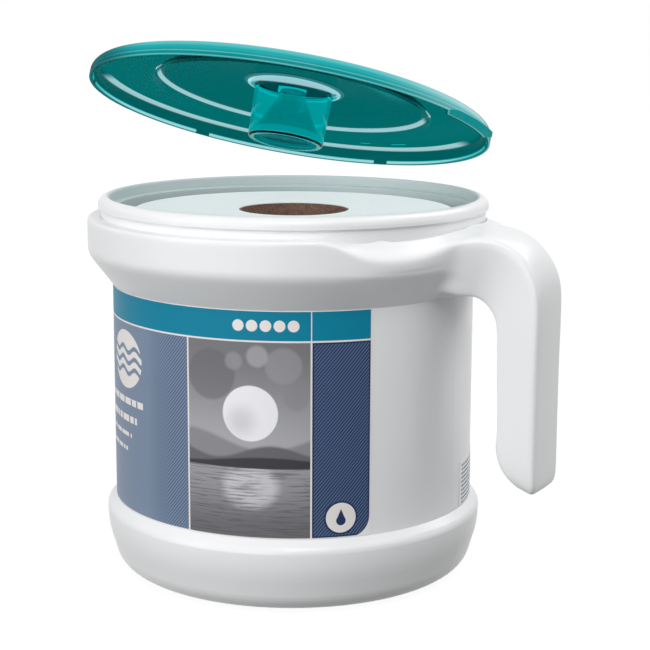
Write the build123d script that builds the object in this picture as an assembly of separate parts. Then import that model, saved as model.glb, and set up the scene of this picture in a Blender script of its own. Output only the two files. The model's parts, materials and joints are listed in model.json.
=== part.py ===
from build123d import *
from math import cos, radians, sin
import os

# A carried tub for a centre-feed roll of wipes. Millimetres and degrees.
# Z is up and runs along the tub's axis, Z = 0 is the surface the tub stands on,
# and the handle points along +X. The lid is drawn seated, then swung up.

# ---- Roll of wipes ----
ROLL_RADIUS = 92.7
ROLL_LENGTH = 194.0
ROLL_EDGE = 1.0
CORE_BORE_RADIUS = 30.0
CORE_WALL = 1.6
CORE_RECESS = 0.4
ROLL_CLEARANCE = 0.3

# ---- Tub ----
ROLL_PLAY = 8.8
TUB_WALL = 2.5
TUB_FLOOR = 3.0
TUB_CORNER = 4.0
TUB_FOOT_INSET = 0.7
TUB_FOOT_WALL = 3.0
FLOOR_STANDOFF = 7.9
RIM_ABOVE_ROLL = 8.6
RIM_STEP_DEPTH = 5.9
RIM_STEP_WIDTH = 4.1
RIM_INNER_EDGE = 1.2
NECK_OVERHANG = 6.5
NECK_WALL = 2.5
NECK_HEIGHT = 4.4
NECK_DEPTH = 6.0
BEAD_OVERHANG = 1.5
BEAD_HEIGHT = 6.9
BEAD_ROUNDING = 4.8

# ---- Shoulder collar ----
COLLAR_OVERHANG = 7.7
COLLAR_WALL = 2.5
COLLAR_HEIGHT = 38.5
COLLAR_BAND = 20.2
COLLAR_TOP_EDGE = 3.2
COLLAR_BAND_EDGE = 12.0
PAD_PROUD = 2.3
PAD_HEIGHT = 13.0
PAD_HALF_ANGLE = 47.0
PAD_DEPTH = 9.0
PAD_EDGE = 4.0

# ---- Handle ----
FINGER_GAP = 34.0
GRIP_DEPTH = 22.0
HANDLE_WIDTH = 35.0
HANDLE_DROP = 144.5
ARM_DEPTH = 36.0
OUTER_BEND = 38.0
INNER_BEND = 18.0
HANDLE_EDGE = 6.0
HANDLE_WALL = 3.0
ROOT_WALL = 3.0
NOSE_SIDE_ROUNDING = 16.0
NOSE_INNER_ROUNDING = 15.5
NOSE_OUTER_ROUNDING = 6.3
ROOT_FLARE = 22.0
ROOT_FLARE_SINK = 1.0
COVER_THICKNESS = 2.4
COVER_LENGTH_MARGIN = 4.0

# ---- Base ----
BASE_OVERHANG = 5.4
BASE_WALL = 2.5
BASE_HEIGHT = 42.3
BASE_SHOULDER = 5.0
BASE_SHOULDER_EDGE = 5.0
BASE_TAPER_HEIGHT = 26.5
BASE_SIDE_ROUNDING = 50.0
BASE_FOOT_INSET = 7.7
BASE_FOOT_ROUNDING = 14.0
FOOT_RING_OVERLAP = 1.0
FOOT_RING_WIDTH = 6.0
FOOT_RING_PROUD = 1.0
FOOT_RING_SINK = 1.0

# ---- Labels ----
LABEL_THICKNESS = 0.25
LABEL_START = -36.5
LABEL_SPAN = 246.0
LABEL_MARGIN = 0.3
INFO_START = 5.0
INFO_SPAN = 40.0
INFO_HEIGHT = 26.0

# ---- Lid ----
LID_RIM_GAP = 1.4
LID_WALL = 1.8
LID_SKIRT = 9.0
LID_EDGE = 6.0
LID_SEAT_GAP = 0.2
CROWN_RADIUS = 77.0
CROWN_RISE = 4.5
CROWN_SLOPE = 4.0
CROWN_EDGE = 2.4
CROWN_DOME = 3.8
CROWN_DOME_ROUNDING = 20.0
RIB_PROUD = 0.6
RIB_HEIGHT = 2.6
RIB_COUNT = 6
RIB_GAP = 9.5
TAB_PROUD = 4.8
TAB_LENGTH = 47.0
TAB_THICKNESS = 2.6
TAB_DROP = 2.2
TAB_CORNER = 3.0

# ---- Nozzle in the middle of the lid ----
CUP_RADIUS = 22.5
CUP_TAPER = 0.85
CUP_DEPTH = 33.2
CUP_WALL = 1.8
CUP_FLARE = 4.2
CUP_LIP = 3.4
FLANGE_RADIUS = 29.0
FLANGE_STEP = 2.0
FLANGE_BORDER = 2.0
CONE_WALL = 1.5
CONE_OUTLET_RADIUS = 7.4
CONE_NECK = 4.6
CONE_RECESS = 3.7
CONE_FOOT = 1.4

# ---- Way the lid lifts off: one turn about a line beyond the far side of the rim ----
LID_AXIS_MARGIN = 42.84
LID_AXIS_RISE = 7.41
LID_AXIS_LEAN = 5.14
LID_SWING = 18.75

# ---- Fasteners ----
SCREW_HEAD_RADIUS = 2.8
SCREW_HEAD_HEIGHT = 1.5
SCREW_RADIUS = 1.45
SCREW_RECESS_WIDTH = 0.9
SCREW_RECESS_LENGTH = 3.2
SCREW_RECESS_DEPTH = 0.8
BOSS_WALL = 2.2
COVER_SCREW_LENGTH = 13.0
COVER_SCREW_DROPS = (62.0, 108.0)
ROOT_SCREW_LENGTH = 13.0
ROOT_SCREW_SPREAD = 18.0
ROOT_SCREW_DROP = 13.0
ROOT_BOSS_LENGTH = 3.0
BASE_SCREW_LENGTH = 8.5
BASE_SCREW_CIRCLE = 70.0
BASE_SCREW_COUNT = 4

# ---- Clearances ----
SLIDE_GAP = 0.15
SEAT_GAP = 0.1
THREAD_GAP = 0.05
REACH = 40.0

# ---- Heights and radii that follow ----
TUB_BORE = ROLL_RADIUS + ROLL_PLAY
TUB_RADIUS = TUB_BORE + TUB_WALL
NECK_RADIUS = TUB_RADIUS + NECK_OVERHANG
COLLAR_RADIUS = NECK_RADIUS + COLLAR_OVERHANG
BASE_RADIUS = TUB_RADIUS + BASE_OVERHANG
BASE_FOOT_RADIUS = BASE_RADIUS - BASE_FOOT_INSET
TUB_FOOT_RADIUS = BASE_FOOT_RADIUS - BASE_FOOT_ROUNDING - TUB_FOOT_INSET
FOOT_RING_RADIUS = TUB_FOOT_RADIUS + FOOT_RING_OVERLAP
GRIP_INNER = TUB_RADIUS + FINGER_GAP
BASE_BOTTOM = FOOT_RING_PROUD
BASE_TOP = BASE_BOTTOM + BASE_HEIGHT
BASE_FLOOR_TOP = BASE_BOTTOM + BASE_WALL
FLOOR_BOTTOM = BASE_FLOOR_TOP + FLOOR_STANDOFF
FLOOR_TOP = FLOOR_BOTTOM + TUB_FLOOR
ROLL_BOTTOM = FLOOR_TOP + ROLL_CLEARANCE
ROLL_TOP = ROLL_BOTTOM + ROLL_LENGTH
RIM_TOP = ROLL_TOP + RIM_ABOVE_ROLL
RIM_STEP = RIM_TOP - RIM_STEP_DEPTH
RIM_BASE = RIM_STEP - NECK_WALL
BEAD_BOTTOM = RIM_TOP - BEAD_HEIGHT
BEAD_RADIUS = NECK_RADIUS + BEAD_OVERHANG
LEDGE = BEAD_BOTTOM - NECK_HEIGHT
RIM_BORE = TUB_BORE + RIM_STEP_WIDTH
COLLAR_BOTTOM = LEDGE - COLLAR_HEIGHT
COLLAR_BORE = TUB_RADIUS + SLIDE_GAP
NECK_HOLE = NECK_RADIUS + SLIDE_GAP
PAD_REACH = COLLAR_RADIUS + PAD_PROUD
GRIP_OUTER = GRIP_INNER + GRIP_DEPTH
HANDLE_BOTTOM = LEDGE - HANDLE_DROP
ARM_UNDERSIDE = LEDGE - ARM_DEPTH
ROOT_INNER = PAD_REACH + SEAT_GAP + ROOT_WALL
CAVITY_BOTTOM = HANDLE_BOTTOM + NOSE_INNER_ROUNDING + COVER_LENGTH_MARGIN
SLOT_WIDTH = HANDLE_WIDTH - 2 * HANDLE_WALL
LID_PLANE = RIM_TOP + LID_SEAT_GAP + LID_WALL
CROWN_SHOULDER = LID_PLANE + CROWN_RISE
CROWN_TOP = CROWN_SHOULDER + CROWN_DOME
CROWN_CEILING = CROWN_TOP - LID_WALL
SKIRT_BOTTOM = LID_PLANE - LID_SKIRT
SKIRT_BORE = BEAD_RADIUS + LID_RIM_GAP + RIB_PROUD
LID_RADIUS = SKIRT_BORE + LID_WALL
LID_AXIS_REACH = LID_RADIUS + LID_AXIS_MARGIN
CUP_BOTTOM = CROWN_TOP - CUP_DEPTH
CUP_FOOT_RADIUS = CUP_RADIUS - CUP_TAPER
FLANGE_HOLE = FLANGE_RADIUS - FLANGE_STEP
SCREW_HOLE_RADIUS = SCREW_RADIUS + THREAD_GAP
BOSS_RADIUS = SCREW_RADIUS + BOSS_WALL


# ---- Shared shapes ----

def outline(*corners):
    """Closed face in the XZ plane from (radius, height) or (radius, height, rounding) corners."""
    points = [(corner[0], corner[1]) for corner in corners]
    roundings = [corner[2] if len(corner) > 2 else 0 for corner in corners]
    return Plane.XZ * make_face(FilletPolyline(*points, radius=roundings, close=True))


def turned(*corners):
    """Solid turned about the Z axis from an outline of (radius, height, rounding) corners."""
    return revolve(outline(*corners), Axis.Z)


def slab(width, *corners):
    """Plate of an XZ outline, centred on the handle's plane, width wide along Y."""
    return extrude(outline(*corners), width / 2, both=True)


def parallel(path, wall):
    """Corners of the line that runs wall to the left of a path of (radius, height, rounding)."""
    points = [Vector(corner[0], corner[1]) for corner in path]
    ways = [(after - before).normalized() for before, after in zip(points, points[1:])]
    lefts = [Vector(-way.Y, way.X) for way in ways]
    first, last = points[0] + lefts[0] * wall, points[-1] + lefts[-1] * wall
    corners = [(first.X, first.Y, 0)]
    for index in range(1, len(points) - 1):
        middle = (lefts[index - 1] + lefts[index]).normalized()
        reach = wall / middle.dot(lefts[index])
        corner = points[index] + middle * reach
        turns_left = ways[index - 1].cross(ways[index]).Z > 0
        rounding = path[index][2] - wall if turns_left else path[index][2] + wall
        corners.append((corner.X, corner.Y, max(rounding, 0) if path[index][2] else 0))
    corners.append((last.X, last.Y, 0))
    return corners


def walled(path, wall):
    """Turned wall of even thickness, with its outer face along the path and its body to the left."""
    return turned(*path, *reversed(parallel(path, wall)))


def rod(radius, start, end):
    """Cylinder between two points."""
    way = Vector(*end) - Vector(*start)
    return extrude(Plane(origin=start, z_dir=way) * Circle(radius), way.length)


def screw(length):
    """Pan-head screw with a cross recess, pointing up from the underside of its head at Z = 0."""
    head = Pos(0, 0, -SCREW_HEAD_HEIGHT / 2) * Cylinder(SCREW_HEAD_RADIUS, SCREW_HEAD_HEIGHT)
    shank = Pos(0, 0, length / 2) * Cylinder(SCREW_RADIUS, length)
    slot_height = -SCREW_HEAD_HEIGHT + SCREW_RECESS_DEPTH / 2
    slot = Box(SCREW_RECESS_LENGTH, SCREW_RECESS_WIDTH, SCREW_RECESS_DEPTH)
    recess = Pos(0, 0, slot_height) * (slot + Rot(0, 0, 90) * slot)
    return head + shank - recess


# ---- Where the screws go: planes with their normal along the screw ----

def cover_screw_planes():
    """Planes under the heads of the screws that hold the handle cover."""
    seat = GRIP_INNER + SCREW_HEAD_HEIGHT
    return [Plane(origin=(seat, 0, LEDGE - drop), z_dir=(1, 0, 0)) for drop in COVER_SCREW_DROPS]


def root_screw_planes():
    """Planes under the heads of the screws from inside the collar into the handle."""
    seat = COLLAR_RADIUS - COLLAR_WALL - ROOT_BOSS_LENGTH
    sides = (-ROOT_SCREW_SPREAD / 2, ROOT_SCREW_SPREAD / 2)
    return [Plane(origin=(seat, side, LEDGE - ROOT_SCREW_DROP), z_dir=(1, 0, 0)) for side in sides]


def base_screw_planes():
    """Planes under the heads of the screws from below the base into the tub."""
    seat = BASE_BOTTOM + SCREW_HEAD_HEIGHT
    turns = [360 / BASE_SCREW_COUNT * (index + 0.5) for index in range(BASE_SCREW_COUNT)]
    return [Plane.XY * Rot(0, 0, turn) * Pos(BASE_SCREW_CIRCLE, 0, seat) for turn in turns]


def bores(planes, radius, start, end):
    """Cylinders along screw planes, from start to end past the seat of the head."""
    middle, length = (start + end) / 2, end - start
    return [plane * Pos(0, 0, middle) * Cylinder(radius, length) for plane in planes]


# ---- Tub, roll and base ----

def make_tub():
    """Bucket that the roll stands in: floor and wall, up to the rim."""
    return turned(
        (0, FLOOR_BOTTOM), (TUB_RADIUS, FLOOR_BOTTOM, TUB_CORNER), (TUB_RADIUS, RIM_BASE),
        (TUB_BORE, RIM_BASE), (TUB_BORE, FLOOR_TOP, TUB_CORNER), (0, FLOOR_TOP),
    )


def make_tub_rim():
    """Mouth of the tub: inner step, hollow neck and rolled bead."""
    neck_bore = NECK_RADIUS - NECK_WALL
    return turned(
        (TUB_BORE, RIM_BASE), (neck_bore, RIM_BASE), (neck_bore, LEDGE - NECK_DEPTH),
        (NECK_RADIUS, LEDGE - NECK_DEPTH), (NECK_RADIUS, BEAD_BOTTOM),
        (BEAD_RADIUS, BEAD_BOTTOM, BEAD_OVERHANG / 2), (BEAD_RADIUS, RIM_TOP, BEAD_ROUNDING),
        (RIM_BORE, RIM_TOP, RIM_INNER_EDGE), (RIM_BORE, RIM_STEP), (TUB_BORE, RIM_STEP, TUB_WALL / 3),
    )


def make_tub_foot():
    """Wall under the floor of the tub, and the bosses that the base is screwed to."""
    foot_bore, foot_bottom = TUB_FOOT_RADIUS - TUB_FOOT_WALL, BASE_FLOOR_TOP + SEAT_GAP
    foot = turned(
        (foot_bore, foot_bottom), (TUB_FOOT_RADIUS, foot_bottom),
        (TUB_FOOT_RADIUS, FLOOR_BOTTOM), (foot_bore, FLOOR_BOTTOM),
    )
    planes = base_screw_planes()
    seat = BASE_BOTTOM + SCREW_HEAD_HEIGHT
    foot += bores(planes, BOSS_RADIUS, foot_bottom - seat, FLOOR_BOTTOM - seat)
    return foot - bores(planes, SCREW_HOLE_RADIUS, 0, FLOOR_BOTTOM - seat)


def make_paper_roll():
    """Wound wipes round the core, square at both ends."""
    bore = CORE_BORE_RADIUS + CORE_WALL + SEAT_GAP
    return turned(
        (bore, ROLL_BOTTOM), (ROLL_RADIUS, ROLL_BOTTOM, ROLL_EDGE),
        (ROLL_RADIUS, ROLL_TOP, ROLL_EDGE), (bore, ROLL_TOP),
    )


def make_roll_core():
    """Cardboard tube inside the roll."""
    outer = CORE_BORE_RADIUS + CORE_WALL
    bottom, top = ROLL_BOTTOM + CORE_RECESS, ROLL_TOP - CORE_RECESS
    return turned((CORE_BORE_RADIUS, bottom), (outer, bottom), (outer, top), (CORE_BORE_RADIUS, top))


def make_base_shell():
    """Dish round the foot of the tub, with a sloping shoulder and a groove for the foot ring."""
    shoulder = BASE_TOP - BASE_SHOULDER
    mouth = TUB_RADIUS - TUB_WALL
    mouth_top = BASE_TOP + TUB_WALL * BASE_SHOULDER / BASE_OVERHANG
    path = [
        (0, BASE_BOTTOM, 0),
        (BASE_FOOT_RADIUS, BASE_BOTTOM, BASE_FOOT_ROUNDING),
        (BASE_RADIUS, BASE_BOTTOM + BASE_TAPER_HEIGHT, BASE_SIDE_ROUNDING),
        (BASE_RADIUS, shoulder, BASE_SHOULDER_EDGE),
        (mouth, mouth_top, 0),
    ]
    shell = walled(path, BASE_WALL)
    bore = TUB_RADIUS + SLIDE_GAP
    shell -= rod(bore, (0, 0, FLOOR_BOTTOM), (0, 0, BASE_TOP + REACH))
    groove_inner = FOOT_RING_RADIUS - FOOT_RING_WIDTH - THREAD_GAP
    groove_outer = FOOT_RING_RADIUS + THREAD_GAP
    groove_top = BASE_BOTTOM + FOOT_RING_SINK + THREAD_GAP
    shell -= turned(
        (groove_inner, 0), (groove_outer, 0), (groove_outer, groove_top), (groove_inner, groove_top),
    )
    planes = base_screw_planes()
    shell -= bores(planes, SCREW_HEAD_RADIUS + SLIDE_GAP, -REACH, 0)
    return shell - bores(planes, SCREW_RADIUS + SLIDE_GAP, 0, BASE_WALL)


def make_foot_ring():
    """Soft ring in the groove under the base, which the tub stands on."""
    inner, top = FOOT_RING_RADIUS - FOOT_RING_WIDTH, BASE_BOTTOM + FOOT_RING_SINK
    edge = FOOT_RING_PROUD / 2
    return turned((inner, 0, edge), (FOOT_RING_RADIUS, 0, edge), (FOOT_RING_RADIUS, top), (inner, top))


def make_base_screws():
    """Screws that hold the base to the tub."""
    return Compound([plane * screw(BASE_SCREW_LENGTH) for plane in base_screw_planes()])


# ---- Shoulder collar and handle ----

def collar_path(gap):
    """Outer face of the collar, from its lower lip up and in over the ledge, moved out by gap."""
    band_bottom = LEDGE - COLLAR_BAND
    return [
        (COLLAR_BORE - SLIDE_GAP, COLLAR_BOTTOM - gap, 0),
        (COLLAR_RADIUS + gap, band_bottom, COLLAR_BAND_EDGE),
        (COLLAR_RADIUS + gap, LEDGE, COLLAR_TOP_EDGE),
        (NECK_RADIUS - NECK_WALL, LEDGE, 0),
    ]


def pad_ring(gap):
    """Raised pad round the root of the handle: a ring set off centre, so that its ends run out."""
    sweep = cos(radians(PAD_HALF_ANGLE)) * COLLAR_RADIUS
    offset = (PAD_REACH ** 2 - COLLAR_RADIUS ** 2) / (2 * (PAD_REACH - sweep))
    outer = PAD_REACH - offset + gap
    inner, bottom = outer - PAD_DEPTH, LEDGE - PAD_HEIGHT
    ring = turned((inner, bottom), (outer, bottom, PAD_EDGE), (outer, LEDGE, PAD_EDGE), (inner, LEDGE))
    return Pos(offset, 0, 0) * ring


def make_shoulder_collar():
    """Hollow ring under the rim, closed on top and chamfered in to the tub below."""
    path = collar_path(0)
    shell = walled(path, COLLAR_WALL)
    inside = turned((0, COLLAR_BOTTOM), *parallel(path, COLLAR_WALL), (0, LEDGE - COLLAR_WALL))
    pad = pad_ring(0) - inside
    pad -= rod(REACH * 5, (-REACH * 5, 0, 0), (-REACH * 5, 0, REACH * 10))
    planes = root_screw_planes()
    bosses = bores(planes, BOSS_RADIUS, 0, ROOT_BOSS_LENGTH + COLLAR_WALL / 2)
    collar = shell + pad + bosses
    collar -= rod(NECK_HOLE, (0, 0, LEDGE - NECK_DEPTH), (0, 0, LEDGE + REACH))
    collar -= rod(COLLAR_BORE, (0, 0, COLLAR_BOTTOM - REACH), (0, 0, COLLAR_BOTTOM + REACH / 2))
    return collar - bores(planes, SCREW_RADIUS + SLIDE_GAP, 0, REACH)


def handle_root_cutter():
    """Everything that the collar fills, with the seat gap, up past the top of the handle."""
    path = collar_path(SEAT_GAP)
    below, above = COLLAR_BOTTOM - REACH, LEDGE + REACH
    low = turned((0, below), (path[0][0], below), *path[:2], (path[1][0], above), (0, above))
    return low + pad_ring(SEAT_GAP)


def make_handle():
    """Arm and hanging grip in one hollow shell, open towards the tub."""
    start, half = TUB_RADIUS, HANDLE_WIDTH / 2
    profile = slab(
        2 * COLLAR_RADIUS,
        (start, LEDGE), (GRIP_OUTER, LEDGE, OUTER_BEND), (GRIP_OUTER, HANDLE_BOTTOM, NOSE_OUTER_ROUNDING),
        (GRIP_INNER, HANDLE_BOTTOM, NOSE_INNER_ROUNDING), (GRIP_INNER, ARM_UNDERSIDE, INNER_BEND),
        (start, ARM_UNDERSIDE),
    )
    arm = Pos(GRIP_OUTER / 2, 0) * Rectangle(GRIP_OUTER, HANDLE_WIDTH)
    plan = Circle(COLLAR_RADIUS - ROOT_FLARE_SINK) + arm
    meets = [corner for corner in plan.vertices() if start < corner.X < GRIP_INNER]
    body = profile & extrude(fillet(meets, ROOT_FLARE), LEDGE)
    seams = [edge for edge in body.edges().filter_by(Axis.Z) if edge.center().X < GRIP_INNER - THREAD_GAP]
    rims = [edge for edge in body.edges() if abs(edge.center().Y) > half / 2 and edge not in seams]
    body = fillet(rims, HANDLE_EDGE)
    front = Plane.YZ * make_face(FilletPolyline(
        (-half, LEDGE + REACH), (half, LEDGE + REACH), (half, HANDLE_BOTTOM), (-half, HANDLE_BOTTOM),
        radius=[0, 0, NOSE_SIDE_ROUNDING, NOSE_SIDE_ROUNDING], close=True,
    ))
    body &= extrude(front, GRIP_OUTER + REACH)
    body -= handle_root_cutter()
    past = SEAT_GAP + THREAD_GAP
    cavity = slab(
        SLOT_WIDTH,
        (start, LEDGE - HANDLE_WALL),
        (GRIP_OUTER - HANDLE_WALL, LEDGE - HANDLE_WALL, OUTER_BEND - HANDLE_WALL),
        (GRIP_OUTER - HANDLE_WALL, CAVITY_BOTTOM), (GRIP_INNER - past, CAVITY_BOTTOM),
        (GRIP_INNER - past, ARM_UNDERSIDE - past, INNER_BEND - past), (start, ARM_UNDERSIDE - past),
    )
    body -= split(cavity, Plane.YZ.offset(ROOT_INNER), keep=Keep.TOP)
    cover_planes, root_planes = cover_screw_planes(), root_screw_planes()
    post_start = COVER_THICKNESS + SEAT_GAP - SCREW_HEAD_HEIGHT
    post_end = GRIP_DEPTH - HANDLE_WALL / 2 - SCREW_HEAD_HEIGHT
    body += bores(cover_planes, BOSS_RADIUS, post_start, post_end)
    body -= bores(cover_planes, SCREW_HOLE_RADIUS, 0, COVER_SCREW_LENGTH + SEAT_GAP)
    root_reach = ROOT_SCREW_LENGTH + BOSS_WALL
    root_start = ROOT_INNER - ROOT_WALL / 2 - root_planes[0].origin.X
    body += bores(root_planes, BOSS_RADIUS, root_start, root_reach)
    return body - bores(root_planes, SCREW_HOLE_RADIUS, 0, ROOT_SCREW_LENGTH + SEAT_GAP)


def make_handle_cover():
    """Strip that closes the hollow of the handle, flush with its inner face."""
    start, bottom = TUB_RADIUS, CAVITY_BOTTOM + SLIDE_GAP
    strip = slab(
        SLOT_WIDTH - 2 * SLIDE_GAP,
        (start, ARM_UNDERSIDE), (GRIP_INNER, ARM_UNDERSIDE, INNER_BEND), (GRIP_INNER, bottom),
        (GRIP_INNER + COVER_THICKNESS, bottom),
        (GRIP_INNER + COVER_THICKNESS, ARM_UNDERSIDE + COVER_THICKNESS, INNER_BEND + COVER_THICKNESS),
        (start, ARM_UNDERSIDE + COVER_THICKNESS),
    )
    cover = split(strip, Plane.YZ.offset(ROOT_INNER + SLIDE_GAP), keep=Keep.TOP)
    planes = cover_screw_planes()
    cover -= bores(planes, SCREW_HEAD_RADIUS + SLIDE_GAP, -SCREW_HEAD_HEIGHT - SEAT_GAP, 0)
    return cover - bores(planes, SCREW_RADIUS + SLIDE_GAP, 0, COVER_THICKNESS)


def make_handle_cover_screws():
    """Screws that hold the handle cover."""
    return Compound([plane * screw(COVER_SCREW_LENGTH) for plane in cover_screw_planes()])


def make_handle_root_screws():
    """Screws from inside the collar into the root of the handle."""
    return Compound([plane * screw(ROOT_SCREW_LENGTH) for plane in root_screw_planes()])


# ---- Labels ----

def wrapped(start, span, bottom, top):
    """Thin sheet round the tub, from an angle, through a span, between two heights."""
    inner = TUB_RADIUS + THREAD_GAP
    outer = inner + LABEL_THICKNESS
    face = Rot(0, 0, start) * outline((inner, bottom), (outer, bottom), (outer, top), (inner, top))
    return revolve(face, Axis.Z, span)


def make_label_wrap():
    """Printed label, from beside the handle round the front to the back."""
    return wrapped(LABEL_START, -LABEL_SPAN, BASE_TOP + LABEL_MARGIN, COLLAR_BOTTOM - LABEL_MARGIN)


def make_info_label():
    """Small label with fine print, on the far side of the handle."""
    bottom = BASE_TOP + LABEL_MARGIN
    return wrapped(INFO_START, INFO_SPAN, bottom, bottom + INFO_HEIGHT)


# ---- Lid ----

def lid_axis():
    """Line that the lid turns about."""
    way = (-cos(radians(LID_AXIS_LEAN)), 0, -sin(radians(LID_AXIS_LEAN)))
    return Axis((0, LID_AXIS_REACH, LID_PLANE + LID_AXIS_RISE), way)


def lifted(seated):
    """Lid piece swung up from its seat on the rim to where it hovers."""
    return seated.rotate(lid_axis(), LID_SWING)


def make_lid_disc():
    """Transparent lid: skirt with snap ribs, flat shoulder, raised crown that swells up, and a thumb tab."""
    path = [
        (LID_RADIUS, SKIRT_BOTTOM, 0), (LID_RADIUS, LID_PLANE, LID_EDGE),
        (CROWN_RADIUS + CROWN_SLOPE, LID_PLANE, CROWN_EDGE), (CROWN_RADIUS, CROWN_SHOULDER, CROWN_EDGE),
        (FLANGE_RADIUS + FLANGE_BORDER, CROWN_TOP, CROWN_DOME_ROUNDING),
        (FLANGE_HOLE + SLIDE_GAP, CROWN_TOP, 0),
    ]
    disc = walled(path, LID_WALL)
    seat = CROWN_TOP - LID_WALL / 2
    disc -= rod(FLANGE_RADIUS + SLIDE_GAP, (0, 0, seat), (0, 0, CROWN_TOP + REACH))
    rib_bore, slope = SKIRT_BORE - RIB_PROUD, RIB_HEIGHT / 3
    rib = turned(
        (SKIRT_BORE + LID_WALL / 2, SKIRT_BOTTOM), (SKIRT_BORE, SKIRT_BOTTOM),
        (rib_bore, SKIRT_BOTTOM + slope), (rib_bore, SKIRT_BOTTOM + RIB_HEIGHT - slope),
        (SKIRT_BORE, SKIRT_BOTTOM + RIB_HEIGHT), (SKIRT_BORE + LID_WALL / 2, SKIRT_BOTTOM + RIB_HEIGHT),
    )
    for index in range(RIB_COUNT):
        notch = Pos(SKIRT_BORE, 0, SKIRT_BOTTOM) * Box(REACH, RIB_GAP, REACH)
        rib -= Rot(0, 0, 360 / RIB_COUNT * (index + 0.5)) * notch
    tab_bottom = SKIRT_BOTTOM - TAB_DROP
    tab_top = tab_bottom + TAB_THICKNESS
    tab_reach = LID_RADIUS + TAB_PROUD
    ring = turned(
        (SKIRT_BORE, tab_bottom), (tab_reach, tab_bottom), (tab_reach, tab_top), (SKIRT_BORE, tab_top),
    )
    window = Pos(tab_reach, 0, tab_bottom) * Box(REACH, TAB_LENGTH, REACH)
    tab = ring & window
    corners = [edge for edge in tab.edges().filter_by(Axis.Z) if edge.center().X > SKIRT_BORE]
    tab = fillet(corners, TAB_CORNER)
    return lifted(disc + rib + tab)


def make_nozzle_cup():
    """Cup that hangs from the crown, on a flange let into the lid, with a lip inside its foot."""
    flange_bottom = CROWN_TOP - LID_WALL / 2 + THREAD_GAP
    lip_top = CUP_BOTTOM + CUP_WALL
    cup = turned(
        (FLANGE_RADIUS, CROWN_TOP), (FLANGE_RADIUS, flange_bottom), (FLANGE_HOLE, flange_bottom),
        (FLANGE_HOLE, CROWN_CEILING), (CUP_RADIUS, CROWN_CEILING, CUP_FLARE),
        (CUP_FOOT_RADIUS, CUP_BOTTOM, CUP_WALL), (CUP_FOOT_RADIUS - CUP_LIP, CUP_BOTTOM, CUP_WALL / 3),
        (CUP_FOOT_RADIUS - CUP_LIP, lip_top), (CUP_FOOT_RADIUS - CUP_WALL, lip_top),
        (CUP_RADIUS - CUP_WALL, CROWN_TOP, CUP_FLARE - CUP_WALL),
    )
    return lifted(cup)


def make_nozzle_cone():
    """Funnel that stands on the lip of the cup and narrows up to the outlet."""
    foot_radius = CUP_FOOT_RADIUS - CUP_WALL - SLIDE_GAP
    foot = CUP_BOTTOM + CUP_WALL + THREAD_GAP
    outlet_top = CROWN_TOP - CONE_RECESS
    path = [
        (foot_radius, foot, 0), (foot_radius, foot + CONE_FOOT, CONE_WALL),
        (CONE_OUTLET_RADIUS + CONE_WALL / 2, outlet_top - CONE_NECK, CONE_WALL),
        (CONE_OUTLET_RADIUS, outlet_top, 0),
    ]
    return lifted(walled(path, CONE_WALL))


# ---- Write one file per piece ----

PIECES = {
    "tub": make_tub,
    "tub_rim": make_tub_rim,
    "tub_foot": make_tub_foot,
    "shoulder_collar": make_shoulder_collar,
    "handle": make_handle,
    "handle_cover": make_handle_cover,
    "handle_cover_screws": make_handle_cover_screws,
    "handle_root_screws": make_handle_root_screws,
    "base_shell": make_base_shell,
    "base_screws": make_base_screws,
    "foot_ring": make_foot_ring,
    "label_wrap": make_label_wrap,
    "info_label": make_info_label,
    "paper_roll": make_paper_roll,
    "roll_core": make_roll_core,
    "lid_disc": make_lid_disc,
    "nozzle_cup": make_nozzle_cup,
    "nozzle_cone": make_nozzle_cone,
}

os.makedirs("parts", exist_ok=True)
for name, make_piece in PIECES.items():
    export_step(make_piece(), f"parts/{name}.step")
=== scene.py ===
"""Looks for a carried tub of centre-feed wipes with a transparent lid that hovers over it."""

import json
import logging
import math
from abc import ABC, abstractmethod
from collections.abc import Sequence
from dataclasses import dataclass
from enum import Enum
from functools import reduce
from operator import or_
from typing import NamedTuple

import bmesh
import bpy
from bmesh.types import BMesh, BMFace
from bpy.types import ID, Material, Mesh, Node, NodeSocket, NodeTree, Object
from mathutils import Matrix, Vector

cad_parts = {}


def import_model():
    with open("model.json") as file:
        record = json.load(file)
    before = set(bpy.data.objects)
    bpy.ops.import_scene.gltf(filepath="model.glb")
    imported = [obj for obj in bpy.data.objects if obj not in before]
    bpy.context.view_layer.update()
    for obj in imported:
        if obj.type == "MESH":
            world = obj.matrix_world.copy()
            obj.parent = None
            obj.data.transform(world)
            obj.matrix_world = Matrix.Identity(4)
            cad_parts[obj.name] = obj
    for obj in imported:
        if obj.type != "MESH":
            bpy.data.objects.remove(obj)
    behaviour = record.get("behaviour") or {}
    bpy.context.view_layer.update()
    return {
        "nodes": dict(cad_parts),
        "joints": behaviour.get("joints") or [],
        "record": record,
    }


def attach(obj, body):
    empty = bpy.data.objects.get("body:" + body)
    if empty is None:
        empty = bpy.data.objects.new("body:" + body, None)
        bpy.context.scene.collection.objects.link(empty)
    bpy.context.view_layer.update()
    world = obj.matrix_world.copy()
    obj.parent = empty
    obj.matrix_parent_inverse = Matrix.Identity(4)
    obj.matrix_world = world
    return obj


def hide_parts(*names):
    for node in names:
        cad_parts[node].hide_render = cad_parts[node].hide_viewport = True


MM = 0.001
FULL_TURN = 360.0
HALF = 0.5
# Height of the lid's flat shoulder when seated, and radius that the labels are wrapped to, in millimetres.
LID_PLANE = 219.3
WALL_RADIUS = 104.3
LOG = logging.getLogger("wipes_tub")

Span = tuple[float, float]
Triple = tuple[float, float, float]
Colour = Triple


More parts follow.
